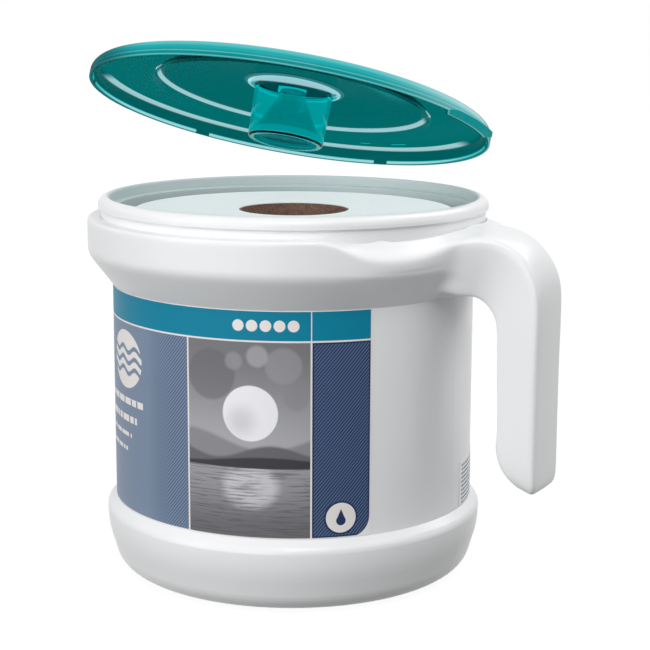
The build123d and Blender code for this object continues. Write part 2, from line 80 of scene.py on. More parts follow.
class Slot(Enum):
    """Material slots of the record."""

    WHITE = "white_plastic"
    TEAL = "clear_teal_plastic"
    LABEL = "label_film"
    WIPES = "wipes"
    CARDBOARD = "cardboard"
    RUBBER = "rubber"
    STEEL = "screw_steel"


def srgb(red: int, green: int, blue: int) -> Colour:
    """Linear colour of an sRGB colour given in 0 to 255."""
    shares = [level / 255 for level in (red, green, blue)]
    return tuple(s / 12.92 if s <= 0.04045 else ((s + 0.055) / 1.055) ** 2.4 for s in shares)


BLACK = (0.0, 0.0, 0.0)
TUB_WHITE = srgb(243, 244, 245)


# ---------------------------------------------------------------- node trees

class Noise(NamedTuple):
    """Settings of a noise texture; its scale is per metre where it reads object coordinates."""

    scale: "Value"
    detail: float = 2.0
    roughness: float = 0.5


FILM_FIBRE = Noise(2400.0)


class Relief(NamedTuple):
    """Depth of a bump, in metres, and its strength."""

    distance: float
    strength: float


class Band(NamedTuple):
    """Two levels, and the softness of the edges between them."""

    low: float
    high: float
    soft: float


class Step(NamedTuple):
    """Two levels, and what a ramp gives up to the first and from the second."""

    low: float
    high: float
    start: float
    end: float


class Reading:
    """A value that changes over the surface: the output of a node, with plain arithmetic.

    Masks meet with *, join with | and turn round with ~.
    """

    def __init__(self, graph: "Graph", socket: NodeSocket) -> None:
        """Wraps an output of a graph's node."""
        self.graph = graph
        self.socket = socket

    def __add__(self, other: "Value") -> "Reading":
        """Sum."""
        return self.graph.math("ADD", self, other)

    def __sub__(self, other: "Value") -> "Reading":
        """Difference."""
        return self.graph.math("SUBTRACT", self, other)

    def __mul__(self, other: "Value") -> "Reading":
        """Product, or where two masks meet."""
        return self.graph.math("MULTIPLY", self, other)

    def __truediv__(self, other: "Value") -> "Reading":
        """Quotient."""
        return self.graph.math("DIVIDE", self, other)

    def __or__(self, other: "Value") -> "Reading":
        """The larger of two values, or two masks joined."""
        return self.graph.math("MAXIMUM", self, other)

    def __invert__(self) -> "Reading":
        """What a mask leaves over."""
        return self.graph.math("SUBTRACT", 1.0, self)

    def __abs__(self) -> "Reading":
        """Size without its sign."""
        return self.graph.math("ABSOLUTE", self)


Value = float | Sequence[float] | NodeSocket | Reading
Inputs = dict[str | int, Value]


class Graph:
    """A node tree under construction, with short calls for the nodes that the finishes use."""

    def __init__(self, tree: NodeTree) -> None:
        """Starts on an existing tree."""
        self.tree = tree

    def node(self, kind: str, **settings: object) -> Node:
        """Adds a node.

        Args:
            kind: the node's type name.
            settings: properties to set on it.

        Returns:
            The new node.
        """
        made = self.tree.nodes.new(kind)
        for key, value in settings.items():
            setattr(made, key, value)
        return made

    def feed(self, socket: NodeSocket, value: Value) -> None:
        """Links a socket to another one, or sets its own value.

        Args:
            socket: the input.
            value: a reading or an output to link, or a plain value.
        """
        source = value.socket if isinstance(value, Reading) else value
        if isinstance(source, NodeSocket):
            self.tree.links.new(source, socket)
        elif socket.type == "RGBA" and len(source) == 3:
            socket.default_value = (*source, 1.0)
        else:
            socket.default_value = source

    def feed_all(self, node: Node, inputs: Inputs) -> None:
        """Feeds the inputs of a node, by name or number."""
        for name, value in inputs.items():
            self.feed(node.inputs[name], value)

    def output(self, kind: str, inputs: Inputs, result: str | int = 0, **settings: object) -> Reading:
        """Adds a node and feeds it.

        Args:
            kind: the node's type name.
            inputs: what its inputs are fed, by name or number.
            result: name or number of the output to read.
            settings: properties to set on the node.

        Returns:
            That output.
        """
        made = self.node(kind, **settings)
        self.feed_all(made, inputs)
        return Reading(self, made.outputs[result])

    def math(self, operation: str, *values: Value) -> Reading:
        """Output of a Math node with these inputs."""
        return self.output("ShaderNodeMath", dict(enumerate(values)), operation=operation)

    def mix(self, share: Value, first: Value, second: Value) -> Reading:
        """Colour that goes from the first to the second as share goes from 0 to 1."""
        return self.output("ShaderNodeMix", {0: share, 6: first, 7: second}, 2, data_type="RGBA")

    def ramp(self, value: Value, low: float, high: float, start: float = 0.0, end: float = 1.0) -> Reading:
        """Smooth step of a value between two levels.

        Args:
            value: what is stepped.
            low: level where the step starts.
            high: level where it ends.
            start: output at low and below.
            end: output at high and above.

        Returns:
            The stepped value.
        """
        inputs = dict(enumerate((value, low, high, start, end)))
        return self.output("ShaderNodeMapRange", inputs, interpolation_type="SMOOTHSTEP")

    def fall(self, value: Value, low: float, high: float) -> Reading:
        """Smooth step from 1 below the low level to 0 above the high one."""
        return self.ramp(value, low, high, 1.0, 0.0)

    def band(self, value: Value, low: float, high: float, soft: float) -> Reading:
        """1 where a value lies between two levels, with soft edges inside them."""
        return self.ramp(value, low, low + soft) * self.fall(value, high - soft, high)

    def stops(self, value: Value, colours: Sequence[tuple[float, Colour]]) -> Reading:
        """Colour that runs through the given stops as the value goes from 0 to 1.

        Args:
            value: the share.
            colours: each stop's share and colour.

        Returns:
            The colour.
        """
        made = self.node("ShaderNodeValToRGB")
        self.feed(made.inputs[0], value)
        elements = made.color_ramp.elements
        while len(elements) < len(colours):
            elements.new(1.0)
        for element, (place, _) in zip(elements, colours):
            element.position = place
        for element, (_, colour) in zip(elements, colours):
            element.color = (*colour, 1.0)
        return Reading(self, made.outputs["Color"])

    def place(self) -> Reading:
        """Object coordinates, in metres, as a vector."""
        return self.output("ShaderNodeTexCoord", {}, "Object")

    def vector(self, x: Value, y: Value, z: Value) -> Reading:
        """Vector of three values."""
        return self.output("ShaderNodeCombineXYZ", {"X": x, "Y": y, "Z": z})

    def hypotenuse(self, first: Reading, second: Reading) -> Reading:
        """Length over two sides at right angles."""
        return self.math("SQRT", first * first + second * second)

    def noise(self, vector: Value, noise: Noise) -> Reading:
        """Height of a noise texture, about 0 to 1."""
        return self.output("ShaderNodeTexNoise", {"Vector": vector, "Scale": noise.scale,
                                                  "Detail": noise.detail, "Roughness": noise.roughness})

    def bump(self, height: Value, relief: Relief) -> Reading:
        """Normal bumped by a height."""
        inputs = {"Strength": relief.strength, "Distance": relief.distance, "Height": height}
        return self.output("ShaderNodeBump", inputs)

    def facing(self) -> Reading:
        """Share that goes from 0 face on to 1 at a glancing angle."""
        return self.output("ShaderNodeLayerWeight", {}, "Facing")

    def rays(self, *kinds: str) -> Reading:
        """1 for a ray of any of these kinds."""
        path = self.node("ShaderNodeLightPath")
        return reduce(or_, [Reading(self, path.outputs[f"Is {kind} Ray"]) for kind in kinds])

    def hand_out(self, values: dict[str, Value]) -> NodeTree:
        """Feeds the outputs of a node group, and returns the group."""
        self.feed_all(self.node("NodeGroupOutput"), values)
        return self.tree


def group_graph(name: str, outputs: Sequence[str], inputs: dict[str, float]) -> Graph:
    """Starts a node group with number sockets.

    Args:
        name: the group's name.
        outputs: names of its outputs.
        inputs: names of its inputs, with their usual values.

    Returns:
        The graph of the group, still empty.
    """
    tree = bpy.data.node_groups.new(name, "ShaderNodeTree")
    for socket, value in inputs.items():
        made = tree.interface.new_socket(socket, in_out="INPUT", socket_type="NodeSocketFloat")
        made.default_value = value
    for socket in outputs:
        tree.interface.new_socket(socket, in_out="OUTPUT", socket_type="NodeSocketFloat")
    return Graph(tree)


class Polar(NamedTuple):
    """Position round an axis, in millimetres and degrees."""

    radius: Reading
    angle: Reading
    height: Reading


def polar(graph: Graph, place: Value) -> Polar:
    """Distance from the Z axis, angle from +X and height of a place.

    Args:
        graph: the nodes to add to.
        place: the place, in metres.

    Returns:
        Its radius, angle and height.
    """
    split = graph.node("ShaderNodeSeparateXYZ")
    graph.feed(split.inputs[0], place)
    x, y, z = (Reading(graph, output) for output in split.outputs)
    angle = graph.math("DEGREES", graph.math("ARCTAN2", y, x))
    return Polar(graph.hypotenuse(x, y) / MM, angle, z / MM)


class Skin(NamedTuple):
    """What the mould leaves on plastic: a height for bumps, slow patches and scuffs."""

    height: Reading
    patches: Reading
    scuffs: Reading


@dataclass(frozen=True)
class MouldSkin:
    """Node group for moulded plastic: fine grain, slow unevenness and small scuffs."""

    grain: float = 900.0
    swell: Noise = Noise(26.0)
    swell_share: float = 3.0
    patches: Noise = Noise(14.0, 3.0)
    scuffs: Noise = Noise(1.0, 3.0, 0.6)
    scuff_stretch: Triple = (60.0, 60.0, 500.0)
    scuff_edge: Span = (0.66, 0.78)

    def group(self) -> NodeTree:
        """Builds the group.

        Returns:
            The group.
        """
        graph = group_graph("mould_skin", ("Height", "Unevenness", "Scuffs"), {"Grain": self.grain})
        place = graph.place()
        grain = graph.noise(place, Noise(graph.output("NodeGroupInput", {}, "Grain")))
        stretched = graph.output("ShaderNodeMapping", {"Vector": place, "Scale": self.scuff_stretch})
        return graph.hand_out({
            "Height": graph.noise(place, self.swell) * self.swell_share + grain,
            "Unevenness": graph.noise(place, self.patches),
            "Scuffs": graph.ramp(graph.noise(stretched, self.scuffs), *self.scuff_edge),
        })


class SharedEffects:
    """Node groups that several finishes place in their materials, each built once."""

    def __init__(self, seating: Matrix) -> None:
        """Builds the groups.

        Args:
            seating: transform that brings the lid from where it hovers to its seat on the rim.
        """
        self.mould_skin = MouldSkin().group()
        self.tub_place = self._measures("tub_place", Matrix.Identity(4), 0.0)
        self.lid_place = self._measures("lid_place", seating, LID_PLANE)
        graph = group_graph("film_fibre", ("Fibre",), {})
        self.film_fibre = graph.hand_out({"Fibre": graph.noise(graph.place(), FILM_FIBRE)})

    def _measures(self, name: str, move: Matrix, level: float) -> NodeTree:
        """Group that measures round the upright axis once the place has been moved.

        Args:
            name: the group's name.
            move: transform of the place.
            level: height that counts as zero, in millimetres.

        Returns:
            The group, which gives a radius, an angle and a height.
        """
        graph = group_graph(name, ("Radius", "Angle", "Height"), {})
        inputs = {"Vector": graph.place(), "Location": move.to_translation(),
                  "Rotation": move.to_euler("XYZ")}
        where = polar(graph, graph.output("ShaderNodeMapping", inputs, vector_type="POINT"))
        return graph.hand_out({"Radius": where.radius, "Angle": where.angle, "Height": where.height - level})

    def _outputs(self, graph: Graph, tree: NodeTree, **inputs: float) -> list[Reading]:
        """Places a group in a material and reads all it puts out.

        Args:
            graph: the nodes to add to.
            tree: the group.
            inputs: values of its inputs.

        Returns:
            Its outputs, in order.
        """
        made = graph.node("ShaderNodeGroup", node_tree=tree)
        graph.feed_all(made, inputs)
        return [Reading(graph, output) for output in made.outputs]

    def on_tub(self, graph: Graph) -> Polar:
        """Measures from the tub's axis, with the angle from the handle."""
        return Polar(*self._outputs(graph, self.tub_place))

    def on_lid(self, graph: Graph) -> Polar:
        """Measures from the lid's own axis, wherever the lid hovers, with the angle from its tab."""
        return Polar(*self._outputs(graph, self.lid_place))

    def skin(self, graph: Graph, grain: float) -> Skin:
        """Moulded skin with this scale of grain."""
        return Skin(*self._outputs(graph, self.mould_skin, Grain=grain))

    def fibre(self, graph: Graph) -> Reading:
        """Fine fibres of printed film."""
        return self._outputs(graph, self.film_fibre)[0]


# ---------------------------------------------------------------- finishes

@dataclass(frozen=True)
class Finish(ABC):
    """A procedural finish with one Principled BSDF."""

    name: str

    def make(self, effects: SharedEffects) -> Material:
        """Builds the material.

        Args:
            effects: the shared node groups.

        Returns:
            The new material.
        """
        material = bpy.data.materials.new(self.name)
        material.use_nodes = True
        graph = Graph(material.node_tree)
        shader = next(node for node in graph.tree.nodes if node.type == "BSDF_PRINCIPLED")
        graph.feed_all(shader, self.inputs(graph, effects))
        return material

    @abstractmethod
    def inputs(self, graph: Graph, effects: SharedEffects) -> Inputs:
        """Values of the shader's inputs, by name."""


@dataclass(frozen=True)
class WhitePlastic(Finish):
    """Glossy moulded white plastic with faint grain and rubbed patches, and painted grey-teal shade inside
    the top of the tub.
    """

    colour: Colour = TUB_WHITE
    rubbed: Colour = srgb(236, 237, 238)
    # Painted shade on the inner wall at the top of the tub, grey-teal as if lit through the lid.
    painted_mouth_shade: Colour = srgb(184, 197, 198)
    painted_shade_radius: Span = (106.5, 107.5)
    painted_shade_height: Span = (182.0, 186.0)
    roughness: float = 0.28
    patch_roughness: float = 0.06
    scuff_roughness: float = 0.08
    grain: float = 900.0
    relief: Relief = Relief(0.00001, 0.35)

    def inputs(self, graph: Graph, effects: SharedEffects) -> Inputs:
        """Values of the shader's inputs.

        Args:
            graph: the nodes to add to.
            effects: the shared node groups.

        Returns:
            The values, by name.
        """
        skin = effects.skin(graph, self.grain)
        place = effects.on_tub(graph)
        # Mask of that painted shade, inside the rim near its top.
        painted_mouth_shade = graph.fall(place.radius, *self.painted_shade_radius) * graph.ramp(place.height, *self.painted_shade_height)
        colour = graph.mix(skin.patches, self.colour, self.rubbed)
        rough = skin.patches * self.patch_roughness + self.roughness
        return {
            "Base Color": graph.mix(painted_mouth_shade, colour, self.painted_mouth_shade),
            "Roughness": skin.scuffs * self.scuff_roughness + rough,
            "Normal": graph.bump(skin.height, self.relief),
        }


@dataclass(frozen=True)
class Cardboard(Finish):
    """Grey-brown core board with speckled pulp and the edge of its spiral winding."""

    colour: Colour = srgb(142, 112, 98)
    dark: Colour = srgb(104, 82, 72)
    speckle: Noise = Noise(700.0, 3.0, 0.7)
    speckle_edge: Span = (0.3, 0.7)
    winding_rise: float = 62.0
    seam: Span = (0.0, 0.012)
    roughness: float = 0.9
    specular: float = 0.2
    relief: Relief = Relief(0.0001, 0.6)

    def inputs(self, graph: Graph, effects: SharedEffects) -> Inputs:
        """Values of the shader's inputs.

        Args:
            graph: the nodes to add to.
            effects: the shared node groups.

        Returns:
            The values, by name.
        """
        place = effects.on_tub(graph)
        speckle = graph.noise(graph.place(), self.speckle)
        winding = place.angle / FULL_TURN + place.height / self.winding_rise
        seam = graph.ramp(abs(graph.math("FRACT", winding) - HALF), *self.seam)
        shade = graph.ramp(speckle, *self.speckle_edge) * seam
        return {
            "Base Color": graph.mix(shade, self.dark, self.colour),
            "Roughness": self.roughness,
            "Specular IOR Level": self.specular,
            "Normal": graph.bump(speckle, self.relief),
        }


@dataclass(frozen=True)
class WoundWipes(Finish):
    """Nonwoven wipes, wound: rings on the ends, soft fibres all over."""

    # Both colours carry a faint cyan cast: painted light, standing in for light tinted by the teal lid.
    colour: Colour = srgb(243, 252, 252)
    shade: Colour = srgb(230, 244, 245)
    layer: float = 0.45
    wander: Noise = Noise(60.0)
    wander_reach: float = 0.8
    ring_rise: Span = (0.0, 0.35)
    ring_fall: Span = (0.7, 1.0)
    broad: Noise = Noise(3.0, 3.0)
    broad_pitch: float = 9.0
    fibre: Noise = Noise(1500.0, 4.0, 0.7)
    ring_tone: float = 0.35
    broad_tone: float = 0.5
    fibre_tone: float = 0.25
    ring_height: float = 0.6
    roughness: float = 0.85
    specular: float = 0.25
    relief: Relief = Relief(0.00015, 0.5)

    def inputs(self, graph: Graph, effects: SharedEffects) -> Inputs:
        """Values of the shader's inputs.

        Args:
            graph: the nodes to add to.
            effects: the shared node groups.

        Returns:
            The values, by name.
        """
        place = graph.place()
        where = effects.on_tub(graph)
        winding = where.angle * (self.layer / FULL_TURN) + where.radius
        winding = graph.noise(place, self.wander) * self.wander_reach + winding
        turn = graph.math("FRACT", winding / self.layer)
        rings = graph.ramp(turn, *self.ring_rise) * graph.fall(turn, *self.ring_fall)
        broad = graph.noise(graph.vector(winding / self.broad_pitch, 0.0, 0.0), self.broad)
        fibre = graph.noise(place, self.fibre)
        tone = rings * self.ring_tone + broad * self.broad_tone + fibre * self.fibre_tone
        return {
            "Base Color": graph.mix(tone, self.shade, self.colour),
            "Roughness": self.roughness,
            "Specular IOR Level": self.specular,
            "Normal": graph.bump(rings * self.ring_height + fibre, self.relief),
        }


@dataclass(frozen=True)
class Steel(Finish):
    """Zinc-plated screw steel with turning marks and a little tarnish."""

    colour: Colour = srgb(190, 192, 195)
    tarnish: Colour = srgb(140, 138, 132)
    stain: Noise = Noise(420.0, 4.0, 0.65)
    stain_edge: Span = (0.45, 0.75)
    roughness: float = 0.28
    stain_roughness: float = 0.2
    marks: Noise = Noise(2600.0)
    relief: Relief = Relief(0.00003, 0.4)

    def inputs(self, graph: Graph, effects: SharedEffects) -> Inputs:
        """Values of the shader's inputs.

        Args:
            graph: the nodes to add to.
            effects: the shared node groups; not used.

        Returns:
            The values, by name.
        """
        place = graph.place()
        stain = graph.ramp(graph.noise(place, self.stain), *self.stain_edge)
        return {
            "Base Color": graph.mix(stain, self.colour, self.tarnish),
            "Roughness": stain * self.stain_roughness + self.roughness,
            "Metallic": 1.0,
            "Normal": graph.bump(graph.noise(place, self.marks), self.relief),
        }


@dataclass(frozen=True)
class Rubber(Finish):
    """Matt dark rubber with dust in its pores."""

    colour: Colour = srgb(44, 45, 47)
    dust_colour: Colour = srgb(92, 92, 90)
    dust: Noise = Noise(180.0, 5.0, 0.7)
    dust_edge: Span = (0.5, 0.85)
    roughness: float = 0.8
    pores: Noise = Noise(2200.0, 3.0)
    relief: Relief = Relief(0.00008, 0.6)

    def inputs(self, graph: Graph, effects: SharedEffects) -> Inputs:
        """Values of the shader's inputs.

        Args:
            graph: the nodes to add to.
            effects: the shared node groups; not used.

        Returns:
            The values, by name.
        """
        place = graph.place()
        dust = graph.ramp(graph.noise(place, self.dust), *self.dust_edge)
        return {
            "Base Color": graph.mix(dust, self.colour, self.dust_colour),
            "Roughness": self.roughness,
            "Normal": graph.bump(graph.noise(place, self.pores), self.relief),
        }


# ---------------------------------------------------------------- labels

# Softness of a printed edge, in millimetres, and where a hatched line fades, as shares of the pitch.
EDGE = 0.2
LINE_EDGE = (0.13, 0.37)


class Disc(NamedTuple):
    """A disc on a label: its place, radius, soft edge and stretch along the label."""

    along: float
    up: float
    radius: float
    soft: float = EDGE
    stretch: float = 1.0


class Box(NamedTuple):
    """A rectangle on a label: its ends along the label, and its heights."""

    left: float
    right: float
    low: float
    high: float


class Bar(NamedTuple):
    """A bar on a label: where it starts, how high its middle lies and how tall it is."""

    left: float
    up: float
    tall: float


class Wave(NamedTuple):
    """A wavy line: mean height, height and length of its waves, phase, and softness of its edge."""

    level: float
    height: float
    length: float
    phase: float
    soft: float


class Sheet:
    """Drawing on an unrolled label, in millimetres along it and up the tub."""

    def __init__(self, graph: Graph, where: Polar, start: float) -> None:
        """Measures from an edge of the label.

        Args:
            graph: the material's nodes.
            where: place round the tub.
            start: angle of that edge, in degrees.
        """
        self.graph = graph
        turned = graph.math("WRAP", graph.math("SUBTRACT", start, where.angle), FULL_TURN, 0.0)
        self.along = turned * math.radians(WALL_RADIUS)
        self.up = where.height

    def box(self, left: float, right: float, low: float, high: float) -> Reading:
        """Mask of a rectangle."""
        return self.graph.band(self.along, left, right, EDGE) * self.graph.band(self.up, low, high, EDGE)

    def distance(self, along: float, up: float, stretch: float = 1.0) -> Reading:
        """Distance from a point, with lengths along the label divided by stretch."""
        return self.graph.hypotenuse((self.along - along) / stretch, self.up - up)

    def disc(self, along: float, up: float, radius: float, soft: float = EDGE,
             stretch: float = 1.0) -> Reading:
        """Mask of a disc, or of an oval where stretch isn't 1."""
        return self.graph.fall(self.distance(along, up, stretch), radius - soft, radius)

    def hatch(self, pitch: float, slope: float) -> Reading:
        """Mask of slanted lines, as wide as the gaps between them.

        Args:
            pitch: distance between lines, measured along the label.
            slope: rise of a line for each millimetre along the label.

        Returns:
            The mask.
        """
        graph = self.graph
        slid = graph.math("FRACT", (self.up / slope + self.along) / pitch)
        return graph.fall(abs(slid - HALF), *LINE_EDGE)

    def below(self, wave: Wave) -> Reading:
        """Mask of everything below a wavy line.

        Args:
            wave: the line.

        Returns:
            The mask.
        """
        turn = self.along * (math.tau / wave.length) + wave.phase
        line = self.graph.math("SINE", turn) * wave.height + wave.level
        return self.graph.fall(self.up - line, -wave.soft, wave.soft)


class Blur(NamedTuple):
    """A soft disc in the picture's sky: place, radius and grey."""

    along: float
    up: float
    radius: float
    grey: int


@dataclass(frozen=True)
class CalmWater:
    """Soft grey picture of a pale disc over low hills and calm water."""

    bottom: float
    top: float
    shore: float = 82.0
    cool: tuple[int, int, int] = (10, 10, 14)
    sky: tuple[int, int] = (172, 112)
    blurs: tuple[Blur, ...] = (
        Blur(48.0, 138.0, 11.0, 150),
        Blur(88.0, 132.0, 15.0, 96),
        Blur(62.0, 143.0, 7.0, 172),
        Blur(75.0, 140.0, 6.0, 150),
        Blur(41.0, 121.0, 8.0, 132),
    )
    blur_soft: float = 2.5
    blur_share: float = 0.6
    moon: Disc = Disc(66.0, 112.0, 15.5, 0.8)
    moon_grey: int = 236
    moon_shade: Disc = Disc(71.0, 107.5, 13.0, 12.0)
    moon_shade_grey: int = 172
    moon_shade_share: float = 0.45
    hills: tuple[tuple[Wave, int], ...] = (
        (Wave(97.0, 5.0, 88.0, 0.6, 1.6), 132),
        (Wave(91.0, 3.6, 61.0, 2.2, 1.2), 96),
        (Wave(86.0, 2.2, 104.0, 4.4, 0.8), 52),
    )
    lake: tuple[int, int] = (96, 150)
    glint: Disc = Disc(66.0, 72.0, 15.0, 6.0, 1.25)
    glint_grey: int = 205
    glint_share: float = 0.8
    ripple_stretch: Span = (0.05, 0.9)
    ripple: Noise = Noise(1.0, 3.0, 0.6)
    ripple_edge: Span = (0.48, 0.62)
    ripple_grey: int = 78
    ripple_share: float = 0.6
    shore_soft: float = 0.4

    def grey(self, level: int) -> Colour:
        """Slightly cool grey of the print."""
        return srgb(*(level + lift for lift in self.cool))

    def draw(self, sheet: Sheet) -> Reading:
        """Colour of the whole picture.

        Args:
            sheet: the label to draw on.

        Returns:
            The colour.
        """
        above = self.shore + self.shore_soft
        shore = sheet.graph.ramp(sheet.up, self.shore - self.shore_soft, above)
        return sheet.graph.mix(shore, self.water(sheet), self.air(sheet))

    def air(self, sheet: Sheet) -> Reading:
        """Sky with soft discs, the moon and the hills.

        Args:
            sheet: the label to draw on.

        Returns:
            The colour.
        """
        graph = sheet.graph
        height = graph.ramp(sheet.up, self.shore, self.top)
        colour = graph.mix(height, *(self.grey(level) for level in self.sky))
        for along, up, radius, level in self.blurs:
            share = sheet.disc(along, up, radius, self.blur_soft) * self.blur_share
            colour = graph.mix(share, colour, self.grey(level))
        moon = sheet.disc(*self.moon)
        colour = graph.mix(moon, colour, self.grey(self.moon_grey))
        shade = sheet.disc(*self.moon_shade) * self.moon_shade_share * moon
        colour = graph.mix(shade, colour, self.grey(self.moon_shade_grey))
        for wave, level in self.hills:
            colour = graph.mix(sheet.below(wave), colour, self.grey(level))
        return colour

    def water(self, sheet: Sheet) -> Reading:
        """Lake with a glint and ripples.

        Args:
            sheet: the label to draw on.

        Returns:
            The colour.
        """
        graph = sheet.graph
        depth = graph.ramp(sheet.up, self.bottom, self.shore)
        colour = graph.mix(depth, *(self.grey(level) for level in self.lake))
        glint = sheet.disc(*self.glint) * self.glint_share
        colour = graph.mix(glint, colour, self.grey(self.glint_grey))
        along, up = self.ripple_stretch
        stretched = graph.vector(sheet.along * along, sheet.up * up, 0.0)
        ripples = graph.ramp(graph.noise(stretched, self.ripple), *self.ripple_edge)
        return graph.mix(ripples * self.ripple_share, colour, self.grey(self.ripple_grey))


@dataclass(frozen=True)
class WrapLabel(Finish):
    """Printed film round the tub: teal band, hatched panels and a grey picture."""

    # Edges of the label and its fields, along it from its start and up the tub.
    start: float = -36.5
    end: float = 430.0
    bottom: float = 43.3
    top: float = 167.5
    margin: float = 0.7
    top_margin: float = 0.3
    foot_margin: float = 0.6
    band_bottom: float = 151.4
    line: float = 0.75
    right_panel: float = 32.9
    left_panel: float = 101.9
    # Cut corner, and the hatching of the side panels: its pitch and slope.
    corner: float = 11.0
    hatching: Span = (1.86, 1.17)
    hatch_margin: float = 0.9
    # Paints.
    paper: Colour = srgb(240, 236, 234)
    band: Colour = srgb(10, 130, 160)
    navy: Colour = srgb(34, 52, 88)
    navy_line: Colour = srgb(86, 106, 138)
    slate: Colour = srgb(84, 103, 132)
    slate_line: Colour = srgb(124, 141, 164)
    # Row of dots in the band.
    dot_count: int = 5
    dot_start: float = 39.0
    dot_pitch: float = 7.4
    dot_height: float = 159.4
    dot_radius: float = 3.2
    dot_room: float = 4.0
    # Disc on the right panel, and the drop in it.
    roundel_place: Span = (17.0, 54.6)
    roundel_radii: Span = (9.4, 8.4)
    drop_radius: float = 2.75
    drop_sink: float = 1.6
    drop_tip: float = 6.6
    drop_taper: float = 0.42
    drop_edge: Span = (-0.2, 0.1)
    drop_join: Span = (0.9, 1.2)
    # Left panel: how its paint and lines fade, its emblem with ripples, and its bars.
    slate_fade: Span = (8.0, 34.0)
    hatch_fade: Span = (14.0, 32.0)
    emblem: Disc = Disc(159.0, 130.0, 16.5, 0.2, 1.2)
    ripple_tops: tuple[float, ...] = (137.0, 131.0, 125.0)
    ripple_width: float = 2.6
    ripple: Wave = Wave(0.0, 1.6, 16.0, 0.4, 0.4)
    bars: tuple[Bar, ...] = (
        Bar(138.5, 106.3, 4.0), Bar(145.0, 96.3, 4.0), Bar(152.0, 87.0, 2.6), Bar(158.0, 78.5, 2.6),
    )
    bar_end: float = 190.0
    word_length: float = 0.3
    word_row: float = 9.0
    word_noise: Noise = Noise(1.0, 0.0)
    word_edge: Span = (0.40, 0.43)
    # The film itself.
    roughness: float = 0.40
    fibre_roughness: float = 0.08
    specular: float = 0.15
    relief: Relief = Relief(0.00001, 0.3)

    def inputs(self, graph: Graph, effects: SharedEffects) -> Inputs:
        """Values of the shader's inputs.

        Args:
            graph: the nodes to add to.
            effects: the shared node groups.

        Returns:
            The values, by name.
        """
        sheet = Sheet(graph, effects.on_tub(graph), self.start)
        low, high = self.bottom + self.foot_margin, self.band_bottom - self.line
        band = sheet.box(self.margin, self.end, self.band_bottom, self.top - self.top_margin)
        colour = graph.mix(band, self.paper, self.band)
        colour = graph.mix(self.dots(sheet), colour, self.paper)
        right = sheet.box(self.margin, self.right_panel, low, high)
        colour = graph.mix(right, colour, self.right_side(sheet, low, high))
        picture = sheet.box(self.right_panel + self.line, self.left_panel, low, high)
        colour = graph.mix(picture, colour, CalmWater(self.bottom, self.band_bottom).draw(sheet))
        left_start = self.left_panel + self.line
        left = sheet.box(left_start, self.end, low, high)
        colour = graph.mix(left, colour, self.left_side(sheet, left_start))
        colour = graph.mix(self.cut_corner(sheet), colour, TUB_WHITE)
        line = sheet.box(self.right_panel, self.right_panel + self.line, low, self.top)
        fibre = effects.fibre(graph)
        return {
            "Base Color": graph.mix(line, colour, self.paper),
            "Roughness": fibre * self.fibre_roughness + self.roughness,
            "Specular IOR Level": self.specular,
            "Normal": graph.bump(fibre, self.relief),
        }

    def dots(self, sheet: Sheet) -> Reading:
        """Row of plain dots in the band.

        Args:
            sheet: the label to draw on.

        Returns:
            Their mask.
        """
        graph = sheet.graph
        cell = graph.math("FRACT", (sheet.along - self.dot_start) / self.dot_pitch)
        reach = graph.hypotenuse((cell - HALF) * self.dot_pitch, sheet.up - self.dot_height)
        end = self.dot_start + self.dot_count * self.dot_pitch
        row = sheet.box(self.dot_start, end, self.dot_height - self.dot_room, self.dot_height + self.dot_room)
        return graph.fall(reach, self.dot_radius - EDGE, self.dot_radius) * row

    def right_side(self, sheet: Sheet, low: float, high: float) -> Reading:
        """Hatched navy panel between two heights, with a pale disc that holds a drop.

        Args:
            sheet: the label to draw on.
            low: lower height.
            high: upper height.

        Returns:
            The colour.
        """
        graph = sheet.graph
        inset = self.hatch_margin
        core = sheet.box(self.margin + inset, self.right_panel - inset, low + inset, high - inset)
        colour = graph.mix(sheet.hatch(*self.hatching) * core, self.navy, self.navy_line)
        along, up = self.roundel_place
        for radius, paint in zip(self.roundel_radii, (self.navy, self.paper)):
            colour = graph.mix(sheet.disc(along, up, radius), colour, paint)
        middle = up - self.drop_sink
        rise = sheet.up - middle
        half = graph.math("SUBTRACT", self.drop_tip, rise) * self.drop_taper
        tip = graph.fall(abs(sheet.along - along) - half, *self.drop_edge) * graph.ramp(rise, *self.drop_join)
        return graph.mix(tip | sheet.disc(along, middle, self.drop_radius), colour, self.navy)

    def left_side(self, sheet: Sheet, start: float) -> Reading:
        """Slate panel whose lines fade out from its start, with a round emblem and short bars.

        Args:
            sheet: the label to draw on.
            start: the panel's start, along the label.

        Returns:
            The colour.
        """
        graph = sheet.graph
        inwards = sheet.along - start
        colour = graph.mix(graph.ramp(inwards, *self.slate_fade), self.slate, self.slate_line)
        lines = sheet.hatch(*self.hatching) * graph.fall(inwards, *self.hatch_fade)
        colour = graph.mix(lines, colour, self.slate_line)
        ripples = []
        for top in self.ripple_tops:
            upper = self.ripple._replace(level=top)
            lower = self.ripple._replace(level=top - self.ripple_width)
            ripples.append(sheet.below(upper) * ~sheet.below(lower))
        emblem = sheet.disc(*self.emblem) * ~reduce(or_, ripples)
        colour = graph.mix(emblem, colour, self.paper)
        bars = [sheet.box(left, self.bar_end, up - tall / 2, up + tall / 2) for left, up, tall in self.bars]
        row = graph.math("FLOOR", sheet.up / self.word_row)
        words = graph.noise(graph.vector(sheet.along * self.word_length, row, 0.0), self.word_noise)
        gaps = graph.ramp(words, *self.word_edge)
        return graph.mix(reduce(or_, bars) * gaps, colour, self.paper)

    def cut_corner(self, sheet: Sheet) -> Reading:
        """Mask of what lies outside the rounded corner beside the handle.

        Args:
            sheet: the label to draw on.

        Returns:
            The mask.
        """
        graph = sheet.graph
        along, up = self.margin + self.corner, self.bottom + self.corner
        beside = graph.fall(sheet.along, along - EDGE, along)
        below = graph.fall(sheet.up, up - EDGE, up)
        return beside * below * graph.ramp(sheet.distance(along, up), self.corner - EDGE, self.corner)


